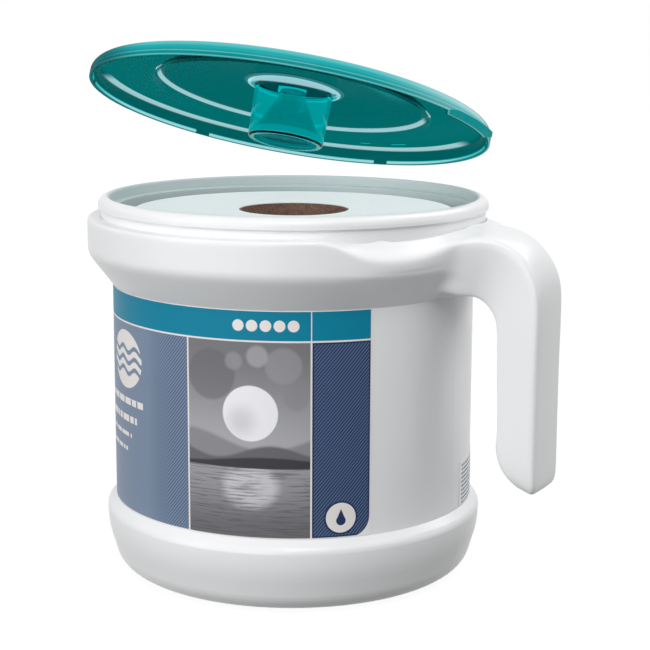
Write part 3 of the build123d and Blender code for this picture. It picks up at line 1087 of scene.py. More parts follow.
@dataclass(frozen=True)
class PrintLabel(Finish):
    """Small white label with rows of fine grey print."""

    start: float = 45.0
    bottom: float = 43.6
    paper: Colour = TUB_WHITE
    ink: Colour = srgb(104, 112, 134)
    row: float = 2.45
    line_edge: Span = (0.22, 0.30)
    word_length: float = 0.9
    words: Noise = Noise(1.0)
    word_edge: Span = (0.38, 0.44)
    block: Box = Box(2.0, 70.0, 44.4, 68.8)
    roughness: float = 0.34
    fibre_roughness: float = 0.08
    relief: Relief = Relief(0.00001, 0.3)

    def inputs(self, graph: Graph, effects: SharedEffects) -> Inputs:
        """Values of the shader's inputs.

        Args:
            graph: the nodes to add to.
            effects: the shared node groups.

        Returns:
            The values, by name.
        """
        sheet = Sheet(graph, effects.on_tub(graph), self.start)
        row = (sheet.up - self.bottom) / self.row
        lines = graph.fall(abs(graph.math("FRACT", row) - HALF), *self.line_edge)
        cells = graph.vector(sheet.along * self.word_length, graph.math("FLOOR", row), 0.0)
        words = graph.ramp(graph.noise(cells, self.words), *self.word_edge)
        fibre = effects.fibre(graph)
        return {
            "Base Color": graph.mix(lines * words * sheet.box(*self.block), self.paper, self.ink),
            "Roughness": fibre * self.fibre_roughness + self.roughness,
            "Normal": graph.bump(fibre, self.relief),
        }


# ---------------------------------------------------------------- clear plastic

class GateGlint(NamedTuple):
    """A small moulding mark on the lid, seen as a spot of painted light: its radius, its angle and half its
    width in degrees.
    """

    radius: float
    angle: float
    half: float


@dataclass(frozen=True)
class ClearPlastic(Finish):
    """What every clear plastic shares.

    Radii and heights are in millimetres from the lid's axis and shoulder, angles in degrees from its tab.
    """

    bending: float = 1.12
    grain: float = 300.0
    roughness: float = 0.05
    scuff_roughness: float = 0.04
    coat_roughness: float = 0.04

    def plain(self, graph: Graph, skin: Skin) -> Inputs:
        """Inputs that every clear plastic feeds.

        Soft light passes a clear wall as it does in reality, instead of casting a solid shadow.

        Args:
            graph: the material's nodes.
            skin: its moulded skin.

        Returns:
            The values, by name.
        """
        return {
            "Transmission Weight": 1.0,
            "IOR": self.bending,
            "Coat Roughness": self.coat_roughness,
            "Emission Strength": 1.0,
            "Roughness": skin.scuffs * self.scuff_roughness + self.roughness,
            "Alpha": ~graph.rays("Shadow", "Diffuse"),
        }

    def front(self, graph: Graph) -> Reading:
        """Mask of faces that are seen from outside the wall."""
        return ~graph.output("ShaderNodeNewGeometry", {}, "Backfacing")

    def turned(self, graph: Graph, lid: Polar, angle: float) -> Reading:
        """Angle round the lid from a given angle in degrees, in radians."""
        return graph.math("RADIANS", lid.angle - angle)


@dataclass(frozen=True)
class LidClear(ClearPlastic):
    """Clear teal plastic of the lid: tinted outside, paler inside, with painted light in its bends and on its
    skirt.
    """

    bending: float = 1.005
    # Tint of the inner faces, and of the outer ones from the middle outwards.
    inside: Colour = (0.12, 0.40, 0.40)
    crown: Colour = srgb(0, 60, 60)
    shoulder: Colour = srgb(0, 68, 68)
    skirt: Colour = srgb(0, 48, 48)
    crown_end: Span = (78.0, 80.0)
    shoulder_end: Span = (109.0, 112.0)
    # Middle of the wall, which parts its outer faces from its inner ones.
    round_at: Span = (109.8, -6.0)
    wall_middle: Span = (4.8, 5.4)
    crown_slope: Span = (76.9, 80.9)
    crown_rise: float = 4.5
    dome: Span = (31.0, 76.5)
    dome_rise: float = 3.8
    # Gloss of the bends and of the top.
    glossy: tuple[Band, ...] = (Band(108.0, 140.0, 1.0), Band(74.5, 81.0, 0.5))
    bend_gloss: float = 0.04
    least_gloss: float = 0.004
    top_gloss: float = 0.5
    top_end: Span = (104.0, 106.0)
    relief: Relief = Relief(0.00001, 0.25)
    # Painted highlights in the bends at the shoulder and round the crown.
    bright_angle: float = 126.0
    painted_bend_light: Colour = (0.98, 0.72, 0.77)
    painted_bend_front_light: Colour = (0.20, 0.50, 0.52)
    shoulder_start: Span = (-3.4, 107.8)
    shoulder_edge: float = 0.6
    shoulder_height: Span = (-1.0, -0.4)
    shoulder_ends: Span = (0.18, 0.34)
    crown_height: Band = Band(2.2, 4.4, 0.3)
    crown_radius: Band = Band(75.6, 80.0, 0.4)
    crown_ends: Span = (-0.05, 0.12)
    # Faint painted sheen of the crown, and spots of painted light at the marks beside it.
    sheen: Colour = (0.01, 0.15, 0.15)
    sheen_radius: Band = Band(50.0, 77.0, 12.0)
    sheen_angle: Band = Band(-42.0, 24.0, 28.0)
    gate_glints: tuple[GateGlint, ...] = (GateGlint(97.0, 92.0, 2.2), GateGlint(98.8, 78.2, 3.4))
    gate_glint_half: float = 0.7
    gate_glint_soft: float = 0.3
    gate_glint_light: Colour = (0.05, 0.62, 0.62)
    # Snap ribs, painted with light, each with a brighter painted line along its middle.
    rib_radius: Span = (113.8, 113.95)
    rib_height: Span = (-6.9, -6.5)
    rib_middle: float = -7.9
    painted_rib_highlight: Colour = (0.33, 0.55, 0.58)
    painted_rib_light: Colour = (0.0, 0.24, 0.25)
    rib_line: Step = Step(0.1, 0.8, 0.12, 0.75)
    rib_soft: float = 0.15
    # Outside of the skirt, all painted light: stripes from its foot up, a lighter and a darker side, the tab
    # and the rim.
    skirt_height: float = 9.0
    painted_stripes: tuple[tuple[float, Colour], ...] = (
        (0.00, srgb(0, 136, 136)),
        (0.05, srgb(110, 196, 198)),
        (0.11, srgb(10, 140, 142)),
        (0.24, srgb(20, 138, 140)),
        (0.29, srgb(100, 194, 197)),
        (0.34, srgb(24, 148, 150)),
        (0.52, srgb(30, 172, 176)),
        (0.58, srgb(40, 162, 165)),
        (0.66, srgb(66, 182, 185)),
        (0.84, srgb(100, 192, 194)),
        (1.00, srgb(124, 198, 200)),
    )
    painted_pale_side: Colour = srgb(178, 216, 217)
    pale_angle: Span = (-42.0, 5.0)
    pale_height: Step = Step(-6.0, -3.0, 0.35, 0.95)
    painted_deep_side: Colour = srgb(0, 84, 86)
    deep_angle: Step = Step(-122.0, -100.0, 0.85, 0.0)
    painted_tab_light: Colour = srgb(14, 134, 136)
    tab_radius: Span = (115.9, 116.2)
    rim_radius: Span = (110.6, 112.4)
    rim_facing: Step = Step(0.80, 0.95, 1.0, 0.1)

    def inputs(self, graph: Graph, effects: SharedEffects) -> Inputs:
        """Values of the shader's inputs.

        Args:
            graph: the nodes to add to.
            effects: the shared node groups.

        Returns:
            The values, by name.
        """
        lid = effects.on_lid(graph)
        skin = effects.skin(graph, self.grain)
        outer = self.outer(graph, lid)
        front = self.front(graph)
        tint = graph.mix(graph.ramp(lid.radius, *self.crown_end), self.crown, self.shoulder)
        tint = graph.mix(graph.ramp(lid.radius, *self.shoulder_end), tint, self.skirt)
        bends = reduce(or_, [graph.band(lid.radius, *span) for span in self.glossy])
        above = outer * graph.fall(lid.radius, *self.top_end) * front
        # Everything fed to Emission Color below is painted light: sheen, marks, bend highlights, ribs and
        # skirt stripes.
        colour = self.sheen_and_gate_glints(graph, lid, outer)
        # Painted highlights of the bends: pale teal on faces seen from outside, pale pink on faces seen from
        # inside.
        painted_bend_colour = graph.mix(front, self.painted_bend_light, self.painted_bend_front_light)
        colour = graph.mix(self.bends(graph, lid) * outer, colour, painted_bend_colour)
        colour = self.ribs(graph, lid, colour, front)
        # The skirt's outside shows its painted light, fading at a glancing angle.
        rim = graph.ramp(lid.radius, *self.rim_radius) * outer * front
        rim = rim * graph.ramp(graph.facing(), *self.rim_facing)
        return self.plain(graph, skin) | {
            "Base Color": graph.mix(outer, self.inside, tint),
            "Coat Weight": above * self.top_gloss + (bends * self.bend_gloss + self.least_gloss),
            "Emission Color": graph.mix(rim, colour, self.painted_skirt_light(graph, lid)),
            "Normal": graph.bump(skin.height, self.relief),
        }

    def outer(self, graph: Graph, lid: Polar) -> Reading:
        """Mask of the top and outside of the wall, against its underside and inside.

        Args:
            graph: the nodes to add to.
            lid: place on the lid.

        Returns:
            The mask.
        """
        centre, level = self.round_at
        step = graph.ramp(lid.radius, *self.crown_slope, self.crown_rise, 0.0)
        step = step + graph.ramp(lid.radius, *self.dome, self.dome_rise, 0.0)
        over = (lid.height - level - step) | 0.0
        beyond = (lid.radius - centre) | 0.0
        return graph.ramp(graph.hypotenuse(over, beyond), *self.wall_middle)

    def towards(self, graph: Graph, lid: Polar) -> Reading:
        """1 on the side of the lid where its bends get painted highlights, and -1 on the other side."""
        return graph.math("COSINE", self.turned(graph, lid, self.bright_angle))

    def bends(self, graph: Graph, lid: Polar) -> Reading:
        """Mask of the bends at the shoulder and round the crown that get painted highlights.

        Args:
            graph: the nodes to add to.
            lid: place on the lid.

        Returns:
            The mask.
        """
        towards = self.towards(graph, lid)
        shift, start = self.shoulder_start
        shoulder = graph.ramp(lid.radius - (towards * shift + start), 0.0, self.shoulder_edge)
        shoulder = shoulder * graph.ramp(lid.height, *self.shoulder_height)
        shoulder = shoulder * graph.ramp(towards, *self.shoulder_ends)
        crown = graph.band(lid.height, *self.crown_height) * graph.band(lid.radius, *self.crown_radius)
        return shoulder | crown * graph.ramp(towards, *self.crown_ends)

    def sheen_and_gate_glints(self, graph: Graph, lid: Polar, outer: Reading) -> Reading:
        """Painted sheen of the crown and painted light on the two small marks beside it, on the outer faces.

        Args:
            graph: the nodes to add to.
            lid: place on the lid.
            outer: mask of the wall's outer faces.

        Returns:
            The painted light that they send out.
        """
        sheen = graph.band(lid.radius, *self.sheen_radius) * graph.band(lid.angle, *self.sheen_angle)
        colour = graph.mix(sheen * outer, BLACK, self.sheen)
        for radius, middle, half in self.gate_glints:
            across = graph.band(lid.radius, radius - self.gate_glint_half, radius + self.gate_glint_half, self.gate_glint_soft)
            gate_glint = across * graph.band(lid.angle, middle - half, middle + half, self.gate_glint_soft)
            colour = graph.mix(gate_glint * outer, colour, self.gate_glint_light)
        return colour

    def ribs(self, graph: Graph, lid: Polar, colour: Reading, front: Reading) -> Reading:
        """Colour with painted light on the snap ribs added, where they are seen from outside.

        Args:
            graph: the nodes to add to.
            lid: place on the lid.
            colour: painted light that the wall sends out so far.
            front: mask of faces that are seen from outside.

        Returns:
            The colour.
        """
        ribs = graph.fall(lid.radius, *self.rib_radius) * graph.fall(lid.height, *self.rib_height)
        half = graph.ramp(self.towards(graph, lid), *self.rib_line)
        line = graph.fall(abs(lid.height - self.rib_middle) - half, -self.rib_soft, self.rib_soft)
        return graph.mix(ribs * front, colour, graph.mix(line, self.painted_rib_light, self.painted_rib_highlight))

    def painted_skirt_light(self, graph: Graph, lid: Polar) -> Reading:
        """Painted stripes of light on the outside of the skirt, and painted light on the tab.

        Args:
            graph: the nodes to add to.
            lid: place on the lid.

        Returns:
            The painted light that they send out.
        """
        share = (lid.height + self.skirt_height) / self.skirt_height
        side = graph.ramp(lid.angle, *self.pale_angle) * graph.ramp(lid.height, *self.pale_height)
        colour = graph.mix(side, graph.stops(share, self.painted_stripes), self.painted_pale_side)
        colour = graph.mix(graph.ramp(lid.angle, *self.deep_angle), colour, self.painted_deep_side)
        return graph.mix(graph.ramp(lid.radius, *self.tab_radius), colour, self.painted_tab_light)


@dataclass(frozen=True)
class NozzleClear(ClearPlastic):
    """Clear teal plastic of the cup and funnel, lighter, with a painted milky glow, painted shade and a
    painted highlight on its flare.
    """

    # Tints of the cup and of the funnel, face on and at a glancing angle.
    tint: Colour = srgb(0, 182, 184)
    edge_tint: Colour = srgb(0, 122, 124)
    tint_facing: Span = (0.55, 0.97)
    cone_tint: Colour = srgb(0, 150, 152)
    cone_edge: Colour = srgb(0, 70, 74)
    cone_facing: Span = (0.45, 0.90)
    # Painted shade, and painted light on the plastic.
    dark: Colour = srgb(0, 22, 26)
    painted_milky_glow: Colour = (0.0, 0.19, 0.195)
    painted_neck_glow: Colour = (0.0, 0.11, 0.115)
    painted_flare_highlight: Colour = (0.32, 0.57, 0.62)
    gloss: float = 0.12
    # Where the funnel, the cup's wall, its lip and the funnel's neck begin and end.
    near_angle: float = -60.0
    cone_end: Span = (18.0, 18.5)
    wall_middle: Span = (21.0, 21.4)
    lip_radius: Span = (20.3, 20.6)
    lip_height: Span = (-23.8, -23.6)
    neck_height: Span = (0.3, 0.9)
    neck_side: Span = (7.7, 8.0)
    neck_shown: Span = (2.4, 2.7)
    # Painted dark band inside the cup and painted bright flare outside it, both reaching lower on the near
    # side.
    flare_high: float = 6.4
    lens_drop: float = 8.6
    lens_edge: Span = (-0.3, 0.3)
    flare_drop: float = 2.5
    flare_edge: Span = (-0.3, 0.5)
    flare_facing: Step = Step(0.90, 0.99, 1.0, 0.4)
    relief: Relief = Relief(0.0008, 0.5)

    def inputs(self, graph: Graph, effects: SharedEffects) -> Inputs:
        """Values of the shader's inputs.

        Args:
            graph: the nodes to add to.
            effects: the shared node groups.

        Returns:
            The values, by name.
        """
        lid = effects.on_lid(graph)
        skin = effects.skin(graph, self.grain)
        facing = graph.facing()
        front = self.front(graph)
        inside = graph.fall(lid.radius, *self.wall_middle)
        cup = graph.ramp(lid.radius, *self.cone_end)
        turn = self.turned(graph, lid, self.near_angle)
        near = graph.math("COSINE", turn) | 0.0
        lens = graph.ramp(self.above(lid, near, self.lens_drop), *self.lens_edge) * cup
        aside = abs(lid.radius * graph.math("SINE", turn))
        beside = graph.ramp(aside, *self.neck_side) | graph.ramp(lid.height, *self.neck_shown)
        lip = graph.ramp(lid.radius, *self.lip_radius) * graph.fall(lid.height, *self.lip_height)
        flare = ~inside * graph.ramp(self.above(lid, near, self.flare_drop), *self.flare_edge) * front
        flare = flare * graph.ramp(facing, *self.flare_facing)
        # Painted shade: the dark band in the cup, the dark line at its lip and the dark ground of the flare's
        # painted highlight.
        shade = inside * lens * beside | lip | flare
        neck = ~cup * graph.ramp(lid.height, *self.neck_height)
        gloss = front * ~(shade | lens)
        tint = graph.mix(graph.ramp(facing, *self.tint_facing), self.tint, self.edge_tint)
        cone_tint = graph.mix(graph.ramp(facing, *self.cone_facing), self.cone_tint, self.cone_edge)
        tint = graph.mix(~cup, tint, cone_tint)
        # Painted glow on the cup's outside and on the funnel's neck.
        glow = graph.mix(gloss * cup, BLACK, self.painted_milky_glow)
        glow = graph.mix(gloss * neck, glow, self.painted_neck_glow)
        return self.plain(graph, skin) | {
            "Base Color": graph.mix(shade, tint, self.dark),
            "Coat Weight": gloss * self.gloss,
            "Emission Color": graph.mix(flare, glow, self.painted_flare_highlight),
            "Normal": graph.bump(skin.patches, self.relief),
        }

    def above(self, lid: Polar, near: Reading, drop: float) -> Reading:
        """Height over the top of the wall, which counts as lower by drop on the near side."""
        return lid.height - (near * -drop + self.flare_high)


# ---------------------------------------------------------------- shoulder and handle

SHARP_ANGLE = 32.0
LONGEST_RUN = 0.4


def cage_swell(step: float) -> float:
    """How much larger a round cage with this many degrees a step is than the curve it settles on."""
    return 3.0 / (2.0 + math.cos(math.radians(step)))


def quarter_arc(centre: Vector, radius: float, steps: int) -> list[Vector]:
    """Points of a quarter circle in the XZ plane, from its top round to +X."""
    angles = [math.pi / 2 * (1 - step / steps) for step in range(steps + 1)]
    return [centre + Vector((radius * math.cos(angle), 0.0, radius * math.sin(angle))) for angle in angles]


def smooth_step(value: float, start: float, end: float) -> float:
    """0 at start, 1 at end and eased between; start may be above end."""
    share = min(max((value - start) / (end - start), 0.0), 1.0)
    return share * share * (3.0 - 2.0 * share)


def spread(index: int, last: int, length: float, run: float) -> float:
    """Place of a cage point along a side: a short run at both ends, and even steps between.

    Args:
        index: the point's number.
        last: number of the last point.
        length: the side's length.
        run: distance from a corner to the point beside it, where there is room.

    Returns:
        Distance from the side's start.
    """
    if index in (0, last):
        return length * index / last
    end_run = min(run, LONGEST_RUN * length)
    return end_run + (length - 2 * end_run) * (index - 1) / (last - 2)


def smooth_by_angle(mesh: Mesh) -> None:
    """Shades a mesh smooth, with sharp edges where its faces meet steeply."""
    mesh.shade_smooth()
    mesh.set_sharp_from_angle(angle=math.radians(SHARP_ANGLE))


def linked_object(name: str, data: ID) -> Object:
    """New object that holds this data, linked to the scene.

    Args:
        name: its name.
        data: its mesh, camera or light.

    Returns:
        The object.
    """
    made = bpy.data.objects.new(name, data)
    bpy.context.collection.objects.link(made)
    return made


class Section(NamedTuple):
    """A cross-section of the handle: outer and inner point in the XZ plane, half its width, its crown,
    the run of its corners and the depth of the slot in its inner face."""

    outer: Vector
    inner: Vector
    half: float
    crown: float
    run: float
    slot: float


class PadRow(NamedTuple):
    """How one row of the cage follows the pad: its dip and its share of the pad's growth."""

    row: int
    dip: float
    growth: float


class NoseRow(NamedTuple):
    """One cross-section of the grip's end: outer and inner point, half width and run of the corners."""

    outer: Span
    inner: Span
    half: float
    run: float


@dataclass(frozen=True)
class ShoulderAndHandle:
    """Hollow shoulder ring with the hanging handle grown out of it in one smooth skin.

    Lengths are in millimetres and angles in degrees from the handle. The ring's rows run round its
    outline, from the hole for the tub's neck over the top and down to the hole for its wall.
    """

    name: str = "shoulder_and_handle"
    # The ring: its columns, how finely it is subdivided, and radius and height of each row.
    columns: int = 60
    levels: int = 3
    collar_radius: float = 118.15
    ledge: float = 206.0
    ring: tuple[Span, ...] = (
        (110.65, 200.0), (110.65, 206.0), (114.0, 206.0), (118.15, 206.0), (118.15, 202.0), (118.15, 194.0),
        (118.15, 190.5), (118.15, 185.8), (113.2, 179.3), (108.0, 172.5), (104.15, 167.6), (104.15, 172.6),
        (104.15, 192.0),
    )
    sharp_rows: tuple[int, ...] = (0, 1, 10, 11)
    # The pad: a circle moved towards the handle, and how its top dips beside the handle's root.
    pad_offset: float = 7.0
    pad_radius: float = 113.5
    pad_ends: Span = (50.0, 42.0)
    pad_shape: tuple[PadRow, ...] = (
        PadRow(1, 1.5, 0.0), PadRow(2, 6.2, 0.0), PadRow(3, 11.0, 0.9),
        PadRow(4, 10.8, 1.0), PadRow(5, 5.5, 0.6), PadRow(6, 2.8, 0.2),
    )
    near_fade: Span = (4.0, 30.0)
    far_fade: Span = (14.0, 42.0)
    # The handle's root: where it grows from the ring, and the share of the dip that is left over it.
    root_angle: float = 16.0
    root_rows: tuple[int, int] = (3, 9)
    root_dip: float = 0.06
    # Arm and grip: their bends, faces and cross-sections, down to the rounded end.
    arm_underside: float = 170.0
    outer_bend: float = 35.0
    inner_bend: float = 18.0
    grip_outer: float = 159.74
    grip_inner: float = 134.2
    grip_lean: float = 1.4
    halves: tuple[float, ...] = (27.0, 21.5, 18.8, 18.0, 17.8, 17.8)
    crowns: tuple[float, ...] = (2.4, 2.0, 1.6, 1.3, 1.0, 0.5)
    runs: tuple[float, ...] = (8.5, 8.5, 8.0, 7.0, 6.2, 5.5)
    grip_heights: tuple[float, ...] = (140.0, 118.0, 98.0)
    nose: tuple[NoseRow, ...] = (
        NoseRow((159.74, 84.0), (135.6, 91.0), 17.8, 5.5), NoseRow((159.74, 75.0), (136.2, 83.0), 17.8, 5.5),
        NoseRow((159.8, 66.4), (140.0, 74.5), 17.2, 5.0), NoseRow((157.4, 62.8), (147.6, 66.4), 14.0, 4.4),
    )
    # Slot in the inner face, for the cover strip.
    slot_depth: float = 6.0
    slot_half: float = 14.8
    # How the cage is made.
    weld: float = 0.01
    row_layer: str = "row"
    column_layer: str = "column"

    def build(self, material: Material) -> Object:
        """Builds the piece with this finish, in metres at the origin.

        Args:
            material: the finish.

        Returns:
            The finished piece.
        """
        shape = self.cage()
        self.shape_pad(shape)
        self.grow_handle(shape)
        self.crease(shape)
        bmesh.ops.scale(shape, vec=(MM, MM, MM), verts=shape.verts)
        mesh = bpy.data.meshes.new(self.name)
        shape.to_mesh(mesh)
        shape.free()
        mesh.materials.append(material)
        smooth_by_angle(mesh)
        piece = linked_object(self.name, mesh)
        smooth = piece.modifiers.new("smooth", "SUBSURF")
        smooth.levels = smooth.render_levels = self.levels
        self.bake(piece)
        smooth_by_angle(piece.data)
        return piece

    def bake(self, piece: Object) -> None:
        """Applies the piece's modifiers to its mesh.

        Args:
            piece: the piece, which gets a new mesh.
        """
        graph = bpy.context.evaluated_depsgraph_get()
        graph.update()
        mesh = bpy.data.meshes.new_from_object(piece.evaluated_get(graph))
        mesh.name = piece.name
        piece.modifiers.clear()
        piece.data = mesh

    def cage(self) -> BMesh:
        """Ring of cage faces, with its rows numbered in a layer.

        Returns:
            The cage, in millimetres.
        """
        shape = bmesh.new()
        row = shape.verts.layers.int.new(self.row_layer)
        shape.verts.layers.int.new(self.column_layer)
        step = FULL_TURN / self.columns
        swell = cage_swell(step)
        points = [shape.verts.new((radius * swell, 0.0, height)) for radius, height in self.ring]
        for index, point in enumerate(points):
            point[row] = index
        edges = [shape.edges.new(pair) for pair in zip(points, points[1:] + points[:1])]
        half_step = Matrix.Rotation(math.radians(step / 2), 3, "Z")
        bmesh.ops.rotate(shape, verts=points, matrix=half_step)
        bmesh.ops.spin(shape, geom=points + edges, axis=(0, 0, 1), angle=math.tau, steps=self.columns,
                       use_merge=True)
        bmesh.ops.remove_doubles(shape, verts=shape.verts, dist=self.weld)
        bmesh.ops.recalc_face_normals(shape, faces=shape.faces)
        return shape

    def pad_reach(self, angle: float) -> float:
        """Radius of the raised pad round the handle's root, at an angle in radians from the handle."""
        across = self.pad_offset * math.sin(angle)
        return self.pad_offset * math.cos(angle) + math.sqrt(self.pad_radius ** 2 - across ** 2)

    def pad_share(self, angle: float) -> float:
        """How far the pad's top dips: not at all past its ends, and less over the arm.

        Args:
            angle: angle from the handle, in radians.

        Returns:
            Share of each row's dip.
        """
        off = math.degrees(abs(angle))
        fade = self.near_fade if angle < 0.0 else self.far_fade
        rise = smooth_step(off, *self.pad_ends)
        return rise * (self.root_dip + (1.0 - self.root_dip) * smooth_step(off, *fade))

    def shape_pad(self, shape: BMesh) -> None:
        """Moves the ring's upper rows out to the pad, and lets its top slope down to a soft lip.

        Args:
            shape: the cage.
        """
        row = shape.verts.layers.int[self.row_layer]
        changes = {change.row: change for change in self.pad_shape}
        for point in shape.verts:
            if point[row] not in changes:
                continue
            change = changes[point[row]]
            angle = math.atan2(point.co.y, point.co.x)
            point.co.z -= change.dip * self.pad_share(angle)
            beyond = max(self.pad_reach(angle) - self.collar_radius, 0.0)
            grown = 1.0 + change.growth * beyond / self.collar_radius
            point.co.x, point.co.y = point.co.x * grown, point.co.y * grown

    def sections(self) -> list[Section]:
        """Cross-sections of the handle from its root, round its bend and down the grip to its end.

        Returns:
            The cross-sections, in order.
        """
        outer_centre = Vector((self.grip_outer - self.outer_bend, 0.0, self.ledge - self.outer_bend))
        inner_centre = Vector((self.grip_inner - self.inner_bend, 0.0, self.arm_underside - self.inner_bend))
        steps = len(self.halves) - 1
        outers = quarter_arc(outer_centre, self.outer_bend, steps)
        inners = quarter_arc(inner_centre, self.inner_bend, steps)
        made = []
        for index, (outer, inner) in enumerate(zip(outers, inners)):
            swell = cage_swell(90.0 / steps) if index else 1.0
            grown = (outer_centre.lerp(outer, swell), inner_centre.lerp(inner, swell))
            made.append(Section(*grown, self.halves[index], self.crowns[index], self.runs[index],
                                self.slot_depth if index else 0.0))
        half, crown, run = self.halves[-1], self.crowns[-1], self.runs[-1]
        top, bottom = self.grip_heights[0], self.grip_heights[-1]
        for height in self.grip_heights:
            lean = self.grip_lean * (top - height) / (top - bottom)
            ends = [Vector((radius, 0.0, height)) for radius in (self.grip_outer, self.grip_inner + lean)]
            made.append(Section(*ends, half, crown, run, self.slot_depth))
        for row in self.nose:
            ends = [Vector((radius, 0.0, height)) for radius, height in (row.outer, row.inner)]
            made.append(Section(*ends, row.half, crown, row.run, 0.0))
        return made

    def grow_handle(self, shape: BMesh) -> None:
        """Draws the root faces of the ring out along the handle.

        Args:
            shape: the cage.
        """
        row, column = (shape.verts.layers.int[name] for name in (self.row_layer, self.column_layer))
        first_row, last_row = self.root_rows
        limit = math.radians(self.root_angle)
        inside = {point: math.atan2(point.co.y, point.co.x) for point in shape.verts
                  if first_row <= point[row] <= last_row}
        inside = {point: round(math.degrees(angle)) for point, angle in inside.items() if abs(angle) < limit}
        root = [face for face in shape.faces if all(point in inside for point in face.verts)]
        ordered = sorted(set(inside.values()))
        for point, angle in inside.items():
            point[column] = ordered.index(angle)
        for section in self.sections():
            grown = bmesh.ops.extrude_face_region(shape, geom=root)
            bmesh.ops.delete(shape, geom=root, context="FACES")
            root = [item for item in grown["geom"] if isinstance(item, BMFace)]
            for point in {point for face in root for point in face.verts}:
                point.co = self.section_place(section, (point[column], len(ordered) - 1),
                                              (point[row] - first_row, last_row - first_row))

    def section_place(self, section: Section, column: tuple[int, int], row: tuple[int, int]) -> Vector:
        """Place of one cage point of a cross-section.

        Args:
            section: the cross-section.
            column: number of the point across the handle, and of the last one.
            row: number of the point from the outer face to the inner one, and of the last one.

        Returns:
            The place, in millimetres.
        """
        reach = section.inner - section.outer
        across = spread(*column, 2 * section.half, section.run) - section.half
        drop = section.crown * (across / section.half) ** 2
        along = drop + spread(*row, reach.length - drop, section.run)
        if row[0] == row[1] and 0 < column[0] < column[1] and section.slot:
            along -= section.slot
            if column[0] in (1, column[1] - 1):
                across = math.copysign(max(abs(across), self.slot_half), across)
        place = section.outer + reach.normalized() * along
        place.y = across
        return place

    def crease(self, shape: BMesh) -> None:
        """Keeps the ring's edges along its sharp rows sharp.

        Args:
            shape: the cage.
        """
        row = shape.verts.layers.int[self.row_layer]
        sharp = shape.edges.layers.float.new("crease_edge")
        for edge in shape.edges:
            first, second = edge.verts
            if first[row] == second[row] and first[row] in self.sharp_rows and first.co.z == second.co.z:
                edge[sharp] = 1.0


# ---------------------------------------------------------------- studio

class Lamp(NamedTuple):
    """A soft light: name, place in metres and power in watts."""

    name: str
    place: Triple
    power: float


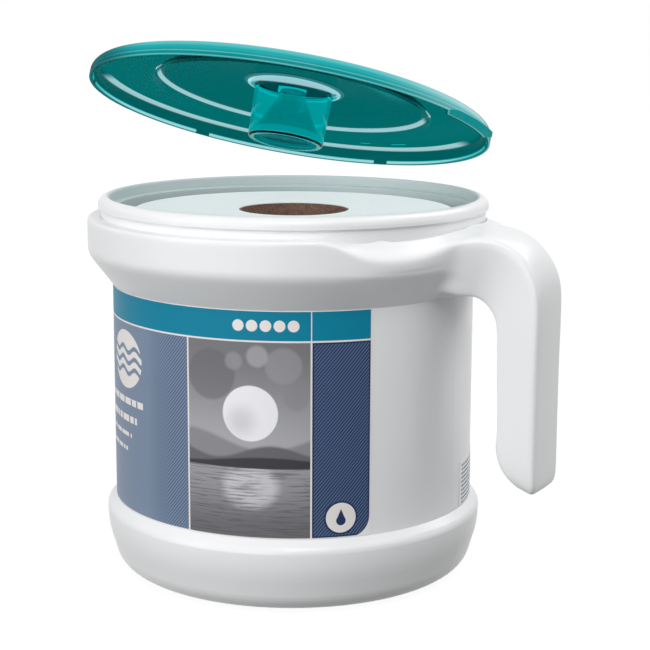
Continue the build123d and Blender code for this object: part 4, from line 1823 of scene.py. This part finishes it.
@dataclass(frozen=True)
class Studio:
    """Camera, floor and soft lights from all round.

    The camera's station and the floor are in millimetres, the camera's clip and the lamps in metres.
    """

    station: Triple = (489.9, -846.1, 326.4)
    azimuth: float = 29.0
    pitch: float = 10.77
    roll: float = 0.25
    lens: float = 94.34
    sensor: float = 36.0
    clip: Span = (0.05, 50.0)
    floor_radius: float = 4000.0
    floor_steps: int = 96
    floor_paint: float = 0.1
    floor_level: Step = Step(300.0, 1600.0, 0.94, 1.0)
    lamp_size: float = 1.2
    lamp_aim: float = 0.15
    lamps: tuple[Lamp, ...] = (
        Lamp("low_left", (-1.123, -1.868, 0.456), 14.4),
        Lamp("low_front", (0.152, -2.174, 0.456), 14.0),
        Lamp("low_back", (1.906, 1.057, 0.456), 6.4),
        Lamp("high_left", (-0.802, -1.334, 1.706), 6.4),
        Lamp("high_front", (0.754, -1.361, 1.706), 19.4),
        Lamp("high_right", (1.556, -0.027, 1.706), 5.0),
        Lamp("high_back", (0.802, 1.334, 1.706), 18.0),
    )
    world_light: float = 0.125

    def build(self) -> None:
        """Makes the camera, the floor, the lamps and the world."""
        self._camera()
        self._floor()
        for lamp in self.lamps:
            self._lamp(lamp)
        self._world()

    def _camera(self) -> None:
        """Camera at the viewing angle, upright but for a slight roll."""
        data = bpy.data.cameras.new("camera")
        data.lens, data.sensor_width = self.lens, self.sensor
        data.clip_start, data.clip_end = self.clip
        camera = linked_object("camera", data)
        turn = Matrix.Rotation(math.radians(self.azimuth), 4, "Z")
        tilt = Matrix.Rotation(math.radians(90.0 - self.pitch), 4, "X")
        roll = Matrix.Rotation(math.radians(self.roll), 4, "Z")
        camera.matrix_world = Matrix.Translation(Vector(self.station) * MM) @ turn @ tilt @ roll
        bpy.context.scene.camera = camera

    def _seen(self, graph: Graph) -> Reading:
        """1 where the camera, gloss and clear plastic look."""
        return graph.rays("Camera", "Glossy", "Transmission")

    def _floor(self) -> None:
        """Pale floor that is white where it is seen, but for the shadow."""
        shape = bmesh.new()
        radius = self.floor_radius * MM
        bmesh.ops.create_circle(shape, cap_ends=True, segments=self.floor_steps, radius=radius)
        mesh = bpy.data.meshes.new("floor")
        shape.to_mesh(mesh)
        shape.free()
        material = bpy.data.materials.new("floor_paper")
        material.use_nodes = True
        material.node_tree.nodes.clear()
        graph = Graph(material.node_tree)
        paper = graph.node("ShaderNodeBsdfDiffuse")
        graph.feed(paper.inputs["Color"], (self.floor_paint,) * 3)
        level = graph.ramp(polar(graph, graph.place()).radius, *self.floor_level)
        glow = graph.node("ShaderNodeEmission")
        graph.feed(glow.inputs["Strength"], self._seen(graph) * level)
        both = graph.node("ShaderNodeAddShader")
        graph.feed_all(both, {0: paper.outputs[0], 1: glow.outputs[0]})
        out = graph.node("ShaderNodeOutputMaterial")
        graph.feed(out.inputs["Surface"], both.outputs[0])
        mesh.materials.append(material)
        floor = linked_object("floor", mesh)

    def _lamp(self, lamp: Lamp) -> None:
        """Square soft light aimed at the middle of the object.

        Args:
            lamp: its name, place and power.
        """
        data = bpy.data.lights.new(lamp.name, "AREA")
        data.shape, data.size, data.energy = "SQUARE", self.lamp_size, lamp.power
        aim = Vector((0.0, 0.0, self.lamp_aim)) - Vector(lamp.place)
        turn = aim.to_track_quat("-Z", "Y").to_matrix().to_4x4()
        linked_object(lamp.name, data).matrix_world = Matrix.Translation(lamp.place) @ turn

    def _world(self) -> None:
        """White surroundings where they are seen, dimmer ones as light."""
        world = bpy.data.worlds.new("studio")
        world.use_nodes = True
        bpy.context.scene.world = world
        graph = Graph(world.node_tree)
        backdrop = next(node for node in world.node_tree.nodes if node.type == "BACKGROUND")
        strength = graph.ramp(self._seen(graph), 0.0, 1.0, self.world_light, 1.0)
        graph.feed_all(backdrop, {"Color": (1.0, 1.0, 1.0), "Strength": strength})


# ---------------------------------------------------------------- the whole


def seating_move(hinge: dict) -> Matrix:
    """Transform that brings the lid from where it hovers to its seat, from its joint's closed limit.

    Args:
        hinge: the lid's joint, as the frame gives it.

    Returns:
        The transform.
    """
    place = Vector(hinge["pos_m"])
    turn = Matrix.Rotation(math.radians(hinge["range_deg"][0]), 4, Vector(hinge["axis"]))
    return Matrix.Translation(place) @ turn @ Matrix.Translation(-place)


def dress(node: Object, material: Material) -> None:
    """Gives a solid its finish in every slot."""
    for slot in node.material_slots:
        slot.material = material


def main() -> None:
    """Builds everything in order."""
    logging.basicConfig(level=logging.INFO)
    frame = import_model()
    bpy.context.scene.view_settings.view_transform = "Standard"
    Studio().build()
    hinge = next(joint for joint in frame["joints"] if joint["name"] == "lid_open")
    effects = SharedEffects(seating_move(hinge))
    finishes = {
        Slot.WHITE: WhitePlastic("white_plastic_finish"),
        Slot.TEAL: LidClear("lid_finish"),
        Slot.WIPES: WoundWipes("wipes_finish"),
        Slot.CARDBOARD: Cardboard("cardboard_finish"),
        Slot.RUBBER: Rubber("rubber_finish"),
        Slot.STEEL: Steel("steel_finish"),
    }
    made = {slot: finish.make(effects) for slot, finish in finishes.items()}
    nozzle = NozzleClear("nozzle_finish").make(effects)
    own = {
        "label_wrap": WrapLabel("wrap_print").make(effects),
        "info_label": PrintLabel("small_print").make(effects),
        "nozzle_cup": nozzle,
        "nozzle_cone": nozzle,
    }
    for part in frame["record"]["subparts"]:
        node = part["node"]
        dress(frame["nodes"][node], own.get(node) or made[Slot(part["material_slot"])])
        LOG.info("dressed %s", node)
    shoulder = ShoulderAndHandle().build(made[Slot.WHITE])
    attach(shoulder, "container")
    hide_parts("shoulder_collar", "handle")
    LOG.info("built %s", shoulder.name)


if __name__ == "__main__":
    main()
